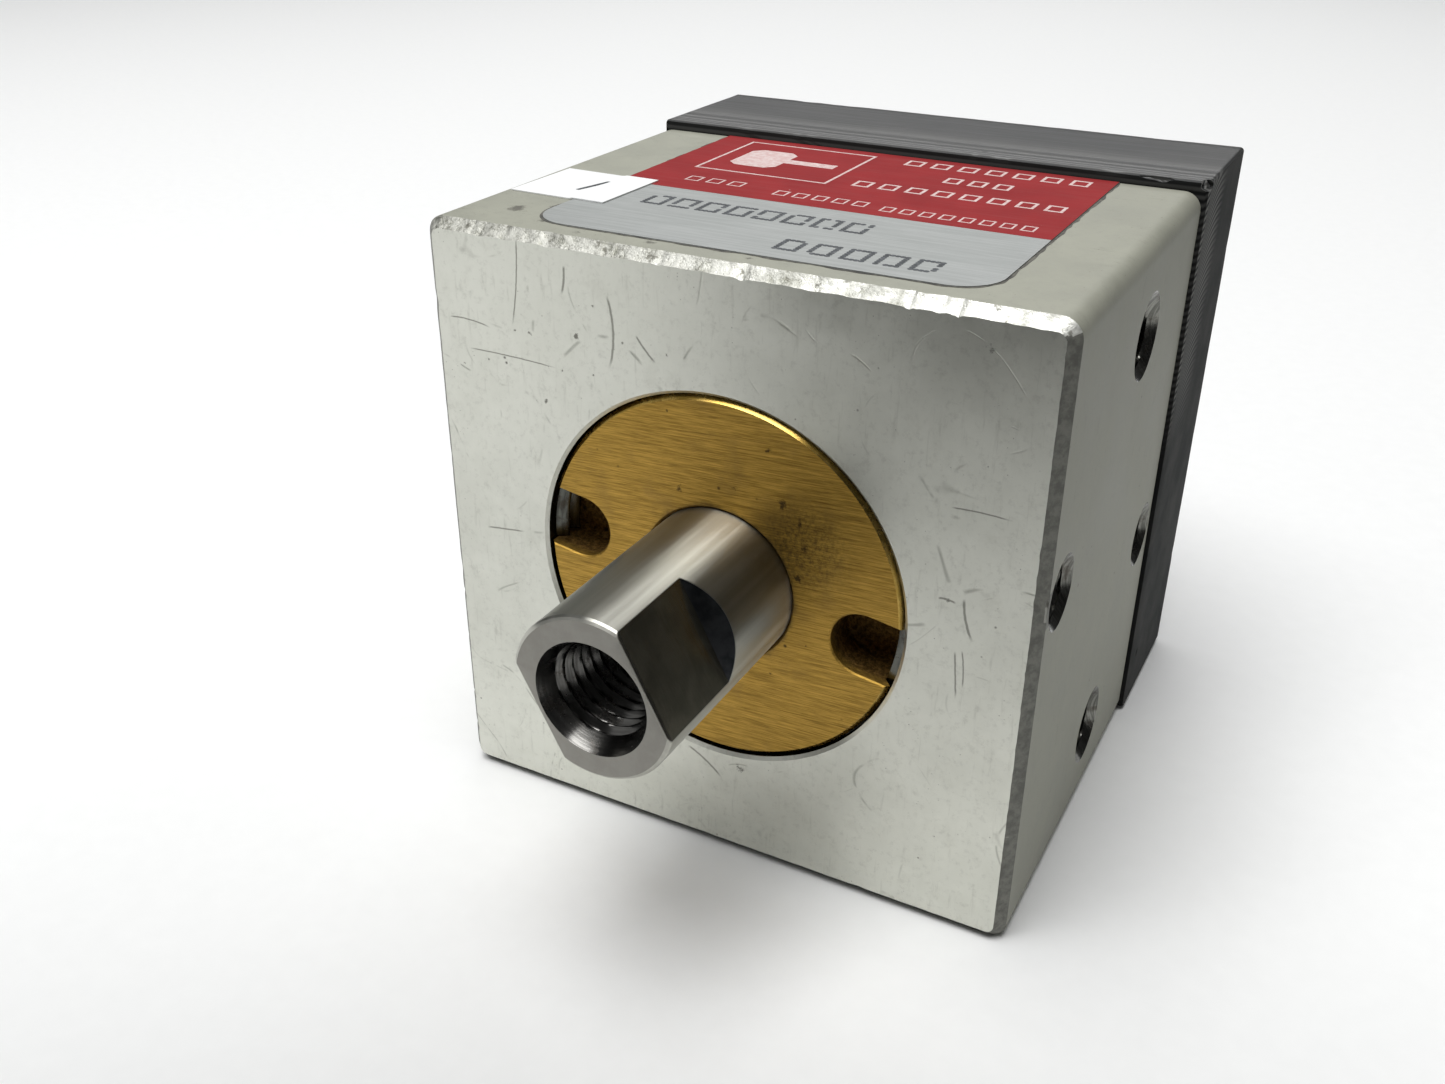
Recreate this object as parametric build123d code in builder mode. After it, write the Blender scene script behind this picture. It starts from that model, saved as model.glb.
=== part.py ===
from build123d import *
import os
from math import cos, radians, sin, sqrt

# Compact square-bodied pneumatic actuator: a double-acting piston on a rod that slides and turns in a
# screw-in bronze gland, with a machined block bolted behind the body.
#
# Frame: millimetres, +Z up, origin at the centre of the body's underside. The rod points along -Y.
# "Depth" is measured from the body's front face towards the rear, so the rod's tip has a negative depth.

# ---------------------------------------------------------------- body
BODY_SIDE = 50.8
BODY_DEPTH = 36.0
BODY_EDGE_RADIUS = 1.5
FRONT_CHAMFER = 0.85
REAR_CHAMFER = 0.3
BORE_RADIUS = 28.575 / 2

# ---------------------------------------------------------------- gland and its seat
GLAND_RADIUS = 15.35
GLAND_SEAT_RADIUS = 15.5
GLAND_SEAT_DEPTH = 5.5
GLAND_MOUTH_CHAMFER = 0.35
GLAND_RECESS = 0.2
GLAND_RIM_CHAMFER = 0.45
GLAND_LENGTH = 9.3
NOTCH_WIDTH = 5.2
NOTCH_INNER_RADIUS = 9.8
NOTCH_DEPTH = 3.8
NOTCH_TILT = -9.0

# ---------------------------------------------------------------- rod
ROD_RADIUS = 12.7 / 2
ROD_CLEARANCE = 0.05
ROD_PROTRUSION = 17.6
ROD_TIP_CHAMFER = 0.3
ROD_THREAD_TAP_RADIUS = 3.45
ROD_THREAD_MOUTH_RADIUS = 4.43
ROD_THREAD_SINK = 2.0
ROD_THREAD_DEPTH = 14.0
FLAT_WIDTH = 9.525
FLAT_LENGTH = 8.3
FLAT_RUNOUT = 1.0
FLAT_ANGLE = 28.0
ROD_SPIGOT_RADIUS = 4.0
ROD_SPIGOT_LENGTH = 4.6
ROD_SPIGOT_CHAMFER = 0.3

# ---------------------------------------------------------------- piston, stroke and stops
STROKE = 9.525
PISTON_RADIUS = 14.1
PISTON_FLANGE = 0.6
PISTON_LAND = 0.45
SEAL_WIDTH = 2.2
WEAR_RING_WIDTH = 1.65
SEAL_GROOVE_RADIUS = 11.4
WEAR_GROOVE_RADIUS = 12.9
SIDE_PLAY = 0.05
BUMPER_THICKNESS = 0.75
BUMPER_OUTER_RADIUS = 10.6
STOP_GAP = 0.0625

# ---------------------------------------------------------------- rear head and its retaining ring
HEAD_SEAT_RADIUS = 14.8
HEAD_THICKNESS = 4.6
RING_GROOVE_RADIUS = 15.7
RING_GROOVE_WIDTH = 1.25
RING_THICKNESS = 1.1

# ---------------------------------------------------------------- side holes (right face, +X)
MOUNT_HOLE_DEPTH_POSITION = 21.3
MOUNT_HOLE_SPACING = 35.6
MOUNT_HOLE_TAP_RADIUS = 2.55
MOUNT_HOLE_SINK_RADIUS = 3.45
MOUNT_HOLE_LENGTH = 12.7
PORT_TAP_RADIUS = 2.02
PORT_SINK_RADIUS = 2.9
PORT_LENGTH = 8.0
FRONT_PORT_SPOT = (4.1, 4.35)
REAR_PORT_SPOT = (32.2, -4.1)
PASSAGE_RADIUS = 1.0

# ---------------------------------------------------------------- rear block and its screws
BLOCK_WIDTH = 50.9
BLOCK_HEIGHT = 51.2
BLOCK_DEPTH = 15.0
BLOCK_SHIFT_RIGHT = 0.4
BLOCK_SHIFT_UP = 0.6
BLOCK_EDGE_BREAK = 0.3
SCREW_SPACING = 36.8
SCREW_HEAD_RADIUS = 3.96
SCREW_HEAD_HEIGHT = 4.83
SCREW_HEAD_RECESS = 1.0
SCREW_SHANK_RADIUS = 2.0
SCREW_LENGTH = 15.875
SCREW_SOCKET_RADIUS = 2.29
SCREW_SOCKET_DEPTH = 2.4
WASHER_THICKNESS = 1.2

# ---------------------------------------------------------------- label and sticker on the top face
LABEL_THICKNESS = 0.1
LABEL_LEFT = -17.8
LABEL_RIGHT = 18.6
LABEL_FRONT_DEPTH = 2.85
LABEL_REAR_DEPTH = 35.7
LABEL_CORNER_RADIUS = 3.3
STICKER_CENTRE = (-19.25, 13.0)
STICKER_WIDTH = 8.9
STICKER_LENGTH = 8.0
STICKER_TURN = 3.0

# ---------------------------------------------------------------- derived places
FRONT_Y = -BODY_DEPTH / 2
AXIS_HEIGHT = BODY_SIDE / 2
ROD_TIP = -ROD_PROTRUSION
PISTON_LENGTH = 2 * (PISTON_FLANGE + SEAL_WIDTH + PISTON_LAND) + WEAR_RING_WIDTH
HEAD_FRONT = GLAND_LENGTH + 2 * (BUMPER_THICKNESS + STOP_GAP) + PISTON_LENGTH + STROKE
HEAD_REAR = HEAD_FRONT + HEAD_THICKNESS
RING_GROOVE_END = HEAD_REAR + RING_GROOVE_WIDTH
PISTON_REAR = HEAD_FRONT - BUMPER_THICKNESS - STOP_GAP
PISTON_FRONT = PISTON_REAR - PISTON_LENGTH
FRONT_SEAL_START = PISTON_FRONT + PISTON_FLANGE
WEAR_RING_START = FRONT_SEAL_START + SEAL_WIDTH + PISTON_LAND
REAR_SEAL_START = WEAR_RING_START + WEAR_RING_WIDTH + PISTON_LAND
SCREW_HEAD_REAR = BODY_DEPTH + BLOCK_DEPTH - SCREW_HEAD_RECESS
SCREW_HEAD_FRONT = SCREW_HEAD_REAR - SCREW_HEAD_HEIGHT
WASHER_FRONT = SCREW_HEAD_FRONT - WASHER_THICKNESS

ROD_AXIS = Axis((0, FRONT_Y, AXIS_HEIGHT), (0, 1, 0))
SECTION = Plane(origin=(0, FRONT_Y, AXIS_HEIGHT), x_dir=(0, 1, 0), z_dir=(1, 0, 0))
RIGHT_FACE = Plane(origin=(BODY_SIDE / 2, FRONT_Y, AXIS_HEIGHT), x_dir=(0, 1, 0), z_dir=(1, 0, 0))


def facing_front(depth):
    """The plane across the rod's axis at this depth, seen from the front: x is right and y is up."""
    return Plane(origin=(0, FRONT_Y + depth, AXIS_HEIGHT), x_dir=(1, 0, 0), z_dir=(0, -1, 0))


def along_rod(angle):
    """The plane through the rod's axis at this angle above +X: x is depth and y is away from the axis."""
    normal = (sin(radians(angle)), 0, -cos(radians(angle)))
    return Plane(origin=(0, FRONT_Y, AXIS_HEIGHT), x_dir=(0, 1, 0), z_dir=normal)


def facing_rear(depth):
    """The plane across the rod's axis at this depth, seen from behind: x is left and y is up."""
    return Plane(origin=(0, FRONT_Y + depth, AXIS_HEIGHT), x_dir=(-1, 0, 0), z_dir=(0, 1, 0))


def outline(*points):
    """A closed outline of (depth, radius) points, to be revolved about the rod's axis."""
    with BuildSketch(SECTION) as turned:
        with BuildLine():
            Polyline(*points, close=True)
        make_face()
    return turned.sketch


def groove(start, width, bottom_radius, top_radius):
    """The section of a groove, or of the plain ring that fills it."""
    return outline(
        (start, bottom_radius),
        (start, top_radius),
        (start + width, top_radius),
        (start + width, bottom_radius),
    )


def squeezed_section(depth, radius, half_width, half_height):
    """The oval section of an O-ring squeezed between its groove and the wall it seals."""
    with BuildSketch(SECTION) as oval:
        with Locations((depth, radius)):
            Ellipse(half_width, half_height)
    return oval.sketch


def lip_seal_section(start, width, inner_radius, outer_radius, notch_depth, open_end):
    """A U-shaped lip seal's section. open_end is +1 when the lips face the rear, -1 for the front."""
    back = start if open_end > 0 else start + width
    lips = start + width if open_end > 0 else start
    wall = (outer_radius - inner_radius) * 0.3
    middle = (outer_radius + inner_radius) / 2
    return outline(
        (back, inner_radius),
        (lips, inner_radius),
        (lips, inner_radius + wall),
        (lips - open_end * notch_depth, middle),
        (lips, outer_radius - wall),
        (lips, outer_radius),
        (back, outer_radius),
    )


os.makedirs("parts", exist_ok=True)

# ---------------------------------------------------------------- cylinder body
# A length of square bar, bored through, with the gland's seat in front and the head's seat behind.
OVERRUN = 1.0
SCREW_HOLE_LENGTH = 7.5
SCREW_HOLE_RADIUS = 2.02
FRONT_PASSAGE_DEPTH = GLAND_LENGTH + PASSAGE_RADIUS
REAR_PASSAGE_DEPTH = HEAD_FRONT - PASSAGE_RADIUS

with BuildPart() as cylinder_body:
    with BuildSketch(facing_front(0)):
        RectangleRounded(BODY_SIDE, BODY_SIDE, BODY_EDGE_RADIUS)
    extrude(amount=-BODY_DEPTH)
    chamfer(cylinder_body.faces().sort_by(Axis.Y)[0].edges(), length=FRONT_CHAMFER)
    chamfer(cylinder_body.faces().sort_by(Axis.Y)[-1].edges(), length=REAR_CHAMFER)
    bore = outline(
        (-OVERRUN, 0),
        (-OVERRUN, GLAND_SEAT_RADIUS + GLAND_MOUTH_CHAMFER + OVERRUN),
        (GLAND_MOUTH_CHAMFER, GLAND_SEAT_RADIUS),
        (GLAND_SEAT_DEPTH, GLAND_SEAT_RADIUS),
        (GLAND_SEAT_DEPTH, BORE_RADIUS),
        (HEAD_FRONT, BORE_RADIUS),
        (HEAD_FRONT, HEAD_SEAT_RADIUS),
        (HEAD_REAR, HEAD_SEAT_RADIUS),
        (HEAD_REAR, RING_GROOVE_RADIUS),
        (RING_GROOVE_END, RING_GROOVE_RADIUS),
        (RING_GROOVE_END, HEAD_SEAT_RADIUS),
        (BODY_DEPTH + OVERRUN, HEAD_SEAT_RADIUS),
        (BODY_DEPTH + OVERRUN, 0),
    )
    revolve(bore, axis=ROD_AXIS, mode=Mode.SUBTRACT)
    with Locations(RIGHT_FACE):
        with Locations(
            (MOUNT_HOLE_DEPTH_POSITION, MOUNT_HOLE_SPACING / 2),
            (MOUNT_HOLE_DEPTH_POSITION, -MOUNT_HOLE_SPACING / 2),
        ):
            CounterSinkHole(
                MOUNT_HOLE_TAP_RADIUS, MOUNT_HOLE_SINK_RADIUS, MOUNT_HOLE_LENGTH, counter_sink_angle=90
            )
        with Locations(FRONT_PORT_SPOT, REAR_PORT_SPOT):
            CounterSinkHole(PORT_TAP_RADIUS, PORT_SINK_RADIUS, PORT_LENGTH, counter_sink_angle=90)
    # A slanted drilling from each port's mouth opens into the bore at that end of the piston's chamber.
    for (port_depth, port_height), chamber_depth in (
        (FRONT_PORT_SPOT, FRONT_PASSAGE_DEPTH),
        (REAR_PORT_SPOT, REAR_PASSAGE_DEPTH),
    ):
        port_mouth = Vector(BODY_SIDE / 2, FRONT_Y + port_depth, AXIS_HEIGHT + port_height)
        bore_x = sqrt(BORE_RADIUS**2 - port_height**2)
        bore_wall = Vector(bore_x, FRONT_Y + chamber_depth, AXIS_HEIGHT + port_height)
        slant = port_mouth - bore_wall
        with Locations(Plane(origin=port_mouth, z_dir=slant)):
            Hole(PASSAGE_RADIUS, depth=slant.length + OVERRUN)
    with Locations(facing_rear(BODY_DEPTH)):
        with GridLocations(SCREW_SPACING, SCREW_SPACING, 2, 2):
            Hole(SCREW_HOLE_RADIUS, depth=SCREW_HOLE_LENGTH)

cylinder_body.part.label = "cylinder_body"
export_step(cylinder_body.part, "parts/cylinder_body.step")

# ---------------------------------------------------------------- rod gland
# The bronze gland screws into the body, guides the rod, and holds the rod seal and its own O-ring.
ROD_BORE_RADIUS = ROD_RADIUS + ROD_CLEARANCE
ROD_BORE_CHAMFER = 0.2
GLAND_NOSE_RADIUS = BORE_RADIUS - SIDE_PLAY
GLAND_NOSE_CHAMFER = 0.3
GLAND_O_RING_START = 6.45
O_RING_GROOVE_WIDTH = 2.4
GLAND_O_RING_GROOVE_RADIUS = 12.9
ROD_SEAL_START = 4.6
ROD_SEAL_WIDTH = 3.0
ROD_SEAL_GROOVE_RADIUS = 9.4

with BuildPart() as rod_gland:
    gland_profile = outline(
        (GLAND_RECESS, ROD_BORE_RADIUS + ROD_BORE_CHAMFER),
        (GLAND_RECESS, GLAND_RADIUS - GLAND_RIM_CHAMFER),
        (GLAND_RECESS + GLAND_RIM_CHAMFER, GLAND_RADIUS),
        (GLAND_SEAT_DEPTH, GLAND_RADIUS),
        (GLAND_SEAT_DEPTH, GLAND_NOSE_RADIUS),
        (GLAND_LENGTH - GLAND_NOSE_CHAMFER, GLAND_NOSE_RADIUS),
        (GLAND_LENGTH, GLAND_NOSE_RADIUS - GLAND_NOSE_CHAMFER),
        (GLAND_LENGTH, ROD_BORE_RADIUS),
        (GLAND_RECESS + ROD_BORE_CHAMFER, ROD_BORE_RADIUS),
    )
    revolve(gland_profile, axis=ROD_AXIS)
    o_ring_groove = groove(
        GLAND_O_RING_START, O_RING_GROOVE_WIDTH, GLAND_O_RING_GROOVE_RADIUS, BORE_RADIUS + OVERRUN
    )
    revolve(o_ring_groove, axis=ROD_AXIS, mode=Mode.SUBTRACT)
    seal_groove = groove(
        ROD_SEAL_START, ROD_SEAL_WIDTH, ROD_BORE_RADIUS - OVERRUN, ROD_SEAL_GROOVE_RADIUS
    )
    revolve(seal_groove, axis=ROD_AXIS, mode=Mode.SUBTRACT)
    # Two U-shaped notches, open at the rim, take the pins of a spanner.
    with BuildSketch(facing_front(GLAND_RECESS)):
        with PolarLocations(NOTCH_INNER_RADIUS + NOTCH_WIDTH / 2, 2, start_angle=NOTCH_TILT):
            Circle(NOTCH_WIDTH / 2)
            Rectangle(GLAND_RADIUS / 2, NOTCH_WIDTH, align=(Align.MIN, Align.CENTER))
    extrude(amount=-NOTCH_DEPTH, mode=Mode.SUBTRACT)

rod_gland.part.label = "rod_gland"
export_step(rod_gland.part, "parts/rod_gland.step")

# ---------------------------------------------------------------- gland O-ring
O_RING_HALF_WIDTH = 1.1
O_RING_HALF_HEIGHT = 0.68

with BuildPart() as gland_o_ring:
    gland_o_ring_section = squeezed_section(
        GLAND_O_RING_START + O_RING_GROOVE_WIDTH / 2,
        (GLAND_O_RING_GROOVE_RADIUS + BORE_RADIUS) / 2,
        O_RING_HALF_WIDTH,
        O_RING_HALF_HEIGHT,
    )
    revolve(gland_o_ring_section, axis=ROD_AXIS)

gland_o_ring.part.label = "gland_o_ring"
export_step(gland_o_ring.part, "parts/gland_o_ring.step")

# ---------------------------------------------------------------- rod seal
ROD_SEAL_NOTCH = 1.35

with BuildPart() as rod_seal:
    rod_seal_section = lip_seal_section(
        ROD_SEAL_START + SIDE_PLAY,
        ROD_SEAL_WIDTH - 2 * SIDE_PLAY,
        ROD_BORE_RADIUS,
        ROD_SEAL_GROOVE_RADIUS - SIDE_PLAY,
        ROD_SEAL_NOTCH,
        open_end=1,
    )
    revolve(rod_seal_section, axis=ROD_AXIS)

rod_seal.part.label = "rod_seal"
export_step(rod_seal.part, "parts/rod_seal.step")

# ---------------------------------------------------------------- front bumper
# A soft ring bonded to the back of the gland stops the piston at the end of its outward stroke.
FRONT_BUMPER_INNER_RADIUS = 7.4

with BuildPart() as front_bumper:
    front_bumper_section = groove(
        GLAND_LENGTH, BUMPER_THICKNESS, FRONT_BUMPER_INNER_RADIUS, BUMPER_OUTER_RADIUS
    )
    revolve(front_bumper_section, axis=ROD_AXIS)

front_bumper.part.label = "front_bumper"
export_step(front_bumper.part, "parts/front_bumper.step")

# ---------------------------------------------------------------- rear head
# A plain disc with an O-ring groove closes the back of the bore.
HEAD_RADIUS = HEAD_SEAT_RADIUS - SIDE_PLAY
HEAD_CHAMFER = 0.3
HEAD_O_RING_START = HEAD_FRONT + 1.15
HEAD_O_RING_GROOVE_RADIUS = 13.4

with BuildPart() as rear_head:
    head_profile = outline(
        (HEAD_FRONT, 0),
        (HEAD_FRONT, HEAD_RADIUS),
        (HEAD_REAR - HEAD_CHAMFER, HEAD_RADIUS),
        (HEAD_REAR, HEAD_RADIUS - HEAD_CHAMFER),
        (HEAD_REAR, 0),
    )
    revolve(head_profile, axis=ROD_AXIS)
    head_groove = groove(
        HEAD_O_RING_START, O_RING_GROOVE_WIDTH, HEAD_O_RING_GROOVE_RADIUS, HEAD_SEAT_RADIUS + OVERRUN
    )
    revolve(head_groove, axis=ROD_AXIS, mode=Mode.SUBTRACT)

rear_head.part.label = "rear_head"
export_step(rear_head.part, "parts/rear_head.step")

# ---------------------------------------------------------------- rear head O-ring
with BuildPart() as rear_head_o_ring:
    head_o_ring_section = squeezed_section(
        HEAD_O_RING_START + O_RING_GROOVE_WIDTH / 2,
        (HEAD_O_RING_GROOVE_RADIUS + HEAD_SEAT_RADIUS) / 2,
        O_RING_HALF_WIDTH,
        O_RING_HALF_HEIGHT,
    )
    revolve(head_o_ring_section, axis=ROD_AXIS)

rear_head_o_ring.part.label = "rear_head_o_ring"
export_step(rear_head_o_ring.part, "parts/rear_head_o_ring.step")

# ---------------------------------------------------------------- retaining ring
# An internal snap ring behind the head, with two pierced lugs either side of its gap.
RING_OUTER_RADIUS = 15.6
RING_INNER_RADIUS = 13.2
LUG_RADIUS = 1.9
LUG_HOLE_RADIUS = 0.8
LUG_SPACING = 8.4
LUG_CENTRE_RADIUS = 12.6
LUG_DROP = sqrt(LUG_CENTRE_RADIUS**2 - (LUG_SPACING / 2) ** 2)
RING_GAP = 4.4
RING_START = HEAD_REAR + (RING_GROOVE_WIDTH - RING_THICKNESS) / 2

with BuildPart() as retaining_ring:
    with BuildSketch(facing_rear(RING_START)):
        Circle(RING_OUTER_RADIUS)
        Circle(RING_INNER_RADIUS, mode=Mode.SUBTRACT)
        with Locations((0, -LUG_DROP)):
            with GridLocations(LUG_SPACING, 0, 2, 1):
                Circle(LUG_RADIUS)
            Rectangle(RING_GAP, 4 * LUG_RADIUS, mode=Mode.SUBTRACT)
            with GridLocations(LUG_SPACING, 0, 2, 1):
                Circle(LUG_HOLE_RADIUS, mode=Mode.SUBTRACT)
    extrude(amount=RING_THICKNESS)

retaining_ring.part.label = "retaining_ring"
export_step(retaining_ring.part, "parts/retaining_ring.step")

# ---------------------------------------------------------------- rear bumper
REAR_BUMPER_INNER_RADIUS = 5.0

with BuildPart() as rear_bumper:
    rear_bumper_section = groove(
        HEAD_FRONT - BUMPER_THICKNESS, BUMPER_THICKNESS, REAR_BUMPER_INNER_RADIUS, BUMPER_OUTER_RADIUS
    )
    revolve(rear_bumper_section, axis=ROD_AXIS)

rear_bumper.part.label = "rear_bumper"
export_step(rear_bumper.part, "parts/rear_bumper.step")

# ---------------------------------------------------------------- piston rod
# The tip has a tapped hole and two wrench flats that end in a slope; the inner end steps down to
# carry the piston.
DRILL_POINT = 0.6
PISTON_SCREW_RADIUS = 2.0
PISTON_SCREW_PLAY = 0.02
PISTON_SCREW_ENGAGEMENT = 8.0
PISTON_SCREW_HOLE_RADIUS = PISTON_SCREW_RADIUS + PISTON_SCREW_PLAY
SPIGOT_END = PISTON_FRONT + ROD_SPIGOT_LENGTH
INNER_HOLE_END = SPIGOT_END - PISTON_SCREW_ENGAGEMENT - DRILL_POINT
TIP_HOLE_END = ROD_TIP + ROD_THREAD_DEPTH
FLAT_END = ROD_TIP + FLAT_LENGTH
FLAT_CUT = ROD_RADIUS - FLAT_WIDTH / 2

with BuildPart() as piston_rod:
    rod_profile = outline(
        (TIP_HOLE_END + DRILL_POINT * ROD_THREAD_TAP_RADIUS, 0),
        (TIP_HOLE_END, ROD_THREAD_TAP_RADIUS),
        (ROD_TIP + ROD_THREAD_SINK, ROD_THREAD_TAP_RADIUS),
        (ROD_TIP, ROD_THREAD_MOUTH_RADIUS),
        (ROD_TIP, ROD_RADIUS - ROD_TIP_CHAMFER),
        (ROD_TIP + ROD_TIP_CHAMFER, ROD_RADIUS),
        (PISTON_FRONT, ROD_RADIUS),
        (PISTON_FRONT, ROD_SPIGOT_RADIUS),
        (SPIGOT_END - ROD_SPIGOT_CHAMFER, ROD_SPIGOT_RADIUS),
        (SPIGOT_END, ROD_SPIGOT_RADIUS - ROD_SPIGOT_CHAMFER),
        (SPIGOT_END, PISTON_SCREW_HOLE_RADIUS),
        (INNER_HOLE_END, PISTON_SCREW_HOLE_RADIUS),
        (INNER_HOLE_END - DRILL_POINT * PISTON_SCREW_HOLE_RADIUS, 0),
    )
    revolve(rod_profile, axis=ROD_AXIS)
    for flat_angle in (FLAT_ANGLE, FLAT_ANGLE + 180):
        with BuildSketch(along_rod(flat_angle)):
            with BuildLine():
                Polyline(
                    (ROD_TIP, FLAT_WIDTH / 2),
                    (FLAT_END, FLAT_WIDTH / 2),
                    (FLAT_END + 2 * FLAT_RUNOUT, FLAT_WIDTH / 2 + 2 * FLAT_CUT),
                    (ROD_TIP, FLAT_WIDTH / 2 + 2 * FLAT_CUT),
                    close=True,
                )
            make_face()
        extrude(amount=ROD_RADIUS, both=True, mode=Mode.SUBTRACT)

piston_rod.part.label = "piston_rod"
export_step(piston_rod.part, "parts/piston_rod.step")

# ---------------------------------------------------------------- piston
# Two seal grooves with a wear-ring groove between them; the rod's spigot enters from the front and
# the piston screw's head sinks into the rear.
SPIGOT_PLAY = 0.02
SCREW_SINK_RADIUS = 4.2
SCREW_SINK_DEPTH = 2.35
FACE_SEAL_RADIUS = 5.7
FACE_SEAL_DEPTH = 1.0
PISTON_CHAMFER = 0.25
PISTON_WEB_HOLE_RADIUS = 2.2

with BuildPart() as piston:
    piston_profile = outline(
        (PISTON_FRONT, ROD_SPIGOT_RADIUS + SPIGOT_PLAY),
        (PISTON_FRONT, PISTON_RADIUS - PISTON_CHAMFER),
        (PISTON_FRONT + PISTON_CHAMFER, PISTON_RADIUS),
        (PISTON_REAR - PISTON_CHAMFER, PISTON_RADIUS),
        (PISTON_REAR, PISTON_RADIUS - PISTON_CHAMFER),
        (PISTON_REAR, SCREW_SINK_RADIUS),
        (PISTON_REAR - SCREW_SINK_DEPTH, SCREW_SINK_RADIUS),
        (PISTON_REAR - SCREW_SINK_DEPTH, PISTON_WEB_HOLE_RADIUS),
        (SPIGOT_END, PISTON_WEB_HOLE_RADIUS),
        (SPIGOT_END, ROD_SPIGOT_RADIUS + SPIGOT_PLAY),
    )
    revolve(piston_profile, axis=ROD_AXIS)
    for groove_start, groove_width, groove_radius in (
        (FRONT_SEAL_START, SEAL_WIDTH, SEAL_GROOVE_RADIUS),
        (WEAR_RING_START, WEAR_RING_WIDTH, WEAR_GROOVE_RADIUS),
        (REAR_SEAL_START, SEAL_WIDTH, SEAL_GROOVE_RADIUS),
    ):
        ring_groove = groove(groove_start, groove_width, groove_radius, PISTON_RADIUS + OVERRUN)
        revolve(ring_groove, axis=ROD_AXIS, mode=Mode.SUBTRACT)
    face_groove = groove(PISTON_FRONT, FACE_SEAL_DEPTH, ROD_SPIGOT_RADIUS, FACE_SEAL_RADIUS)
    revolve(face_groove, axis=ROD_AXIS, mode=Mode.SUBTRACT)

piston.part.label = "piston"
export_step(piston.part, "parts/piston.step")

# ---------------------------------------------------------------- piston O-ring
# It seals the rod's shoulder to the piston's front face.
FACE_RING_HALF_WIDTH = 0.48
FACE_RING_HALF_HEIGHT = 0.78

with BuildPart() as piston_o_ring:
    face_ring_section = squeezed_section(
        PISTON_FRONT + FACE_SEAL_DEPTH / 2,
        (ROD_SPIGOT_RADIUS + FACE_SEAL_RADIUS) / 2,
        FACE_RING_HALF_WIDTH,
        FACE_RING_HALF_HEIGHT,
    )
    revolve(face_ring_section, axis=ROD_AXIS)

piston_o_ring.part.label = "piston_o_ring"
export_step(piston_o_ring.part, "parts/piston_o_ring.step")

# ---------------------------------------------------------------- piston screw
# A low-head socket screw clamps the piston to the rod from behind.
PISTON_SCREW_HEAD_RADIUS = 3.9
PISTON_SCREW_HEAD_HEIGHT = 2.1
PISTON_SCREW_CHAMFER = 0.25
PISTON_SCREW_SOCKET_RADIUS = 1.45
PISTON_SCREW_SOCKET_DEPTH = 1.3
SCREW_SEAT = PISTON_REAR - SCREW_SINK_DEPTH
PISTON_SCREW_TIP = SPIGOT_END - PISTON_SCREW_ENGAGEMENT

with BuildPart() as piston_screw:
    screw_profile = outline(
        (PISTON_SCREW_TIP, 0),
        (PISTON_SCREW_TIP, PISTON_SCREW_RADIUS - PISTON_SCREW_CHAMFER),
        (PISTON_SCREW_TIP + PISTON_SCREW_CHAMFER, PISTON_SCREW_RADIUS),
        (SCREW_SEAT, PISTON_SCREW_RADIUS),
        (SCREW_SEAT, PISTON_SCREW_HEAD_RADIUS),
        (SCREW_SEAT + PISTON_SCREW_HEAD_HEIGHT - PISTON_SCREW_CHAMFER, PISTON_SCREW_HEAD_RADIUS),
        (SCREW_SEAT + PISTON_SCREW_HEAD_HEIGHT, PISTON_SCREW_HEAD_RADIUS - PISTON_SCREW_CHAMFER),
        (SCREW_SEAT + PISTON_SCREW_HEAD_HEIGHT, 0),
    )
    revolve(screw_profile, axis=ROD_AXIS)
    with BuildSketch(facing_rear(SCREW_SEAT + PISTON_SCREW_HEAD_HEIGHT)):
        RegularPolygon(PISTON_SCREW_SOCKET_RADIUS, 6)
    extrude(amount=-PISTON_SCREW_SOCKET_DEPTH, mode=Mode.SUBTRACT)

piston_screw.part.label = "piston_screw"
export_step(piston_screw.part, "parts/piston_screw.step")

# ---------------------------------------------------------------- piston seals
# Two lip seals back to back: each pair of lips faces the pressure at its own end.
SEAL_NOTCH = 1.1
WALL_RADIUS = BORE_RADIUS - SIDE_PLAY

with BuildPart() as piston_seal_front:
    front_seal_section = lip_seal_section(
        FRONT_SEAL_START + SIDE_PLAY,
        SEAL_WIDTH - 2 * SIDE_PLAY,
        SEAL_GROOVE_RADIUS + SIDE_PLAY,
        WALL_RADIUS,
        SEAL_NOTCH,
        open_end=-1,
    )
    revolve(front_seal_section, axis=ROD_AXIS)

piston_seal_front.part.label = "piston_seal_front"
export_step(piston_seal_front.part, "parts/piston_seal_front.step")

with BuildPart() as piston_seal_rear:
    rear_seal_section = lip_seal_section(
        REAR_SEAL_START + SIDE_PLAY,
        SEAL_WIDTH - 2 * SIDE_PLAY,
        SEAL_GROOVE_RADIUS + SIDE_PLAY,
        WALL_RADIUS,
        SEAL_NOTCH,
        open_end=1,
    )
    revolve(rear_seal_section, axis=ROD_AXIS)

piston_seal_rear.part.label = "piston_seal_rear"
export_step(piston_seal_rear.part, "parts/piston_seal_rear.step")

# ---------------------------------------------------------------- piston wear ring
# A split band that carries the piston in the bore, so metal never touches metal.
WEAR_RING_GAP = 0.6

with BuildPart() as piston_wear_ring:
    wear_section = groove(
        WEAR_RING_START + SIDE_PLAY,
        WEAR_RING_WIDTH - 2 * SIDE_PLAY,
        WEAR_GROOVE_RADIUS + SIDE_PLAY,
        WALL_RADIUS,
    )
    revolve(wear_section, axis=ROD_AXIS)
    with BuildSketch(facing_front(WEAR_RING_START)):
        with Locations((0, (WEAR_GROOVE_RADIUS + WALL_RADIUS) / 2)):
            Rectangle(WEAR_RING_GAP, 2 * (WALL_RADIUS - WEAR_GROOVE_RADIUS))
    extrude(amount=-WEAR_RING_WIDTH, mode=Mode.SUBTRACT)

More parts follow.
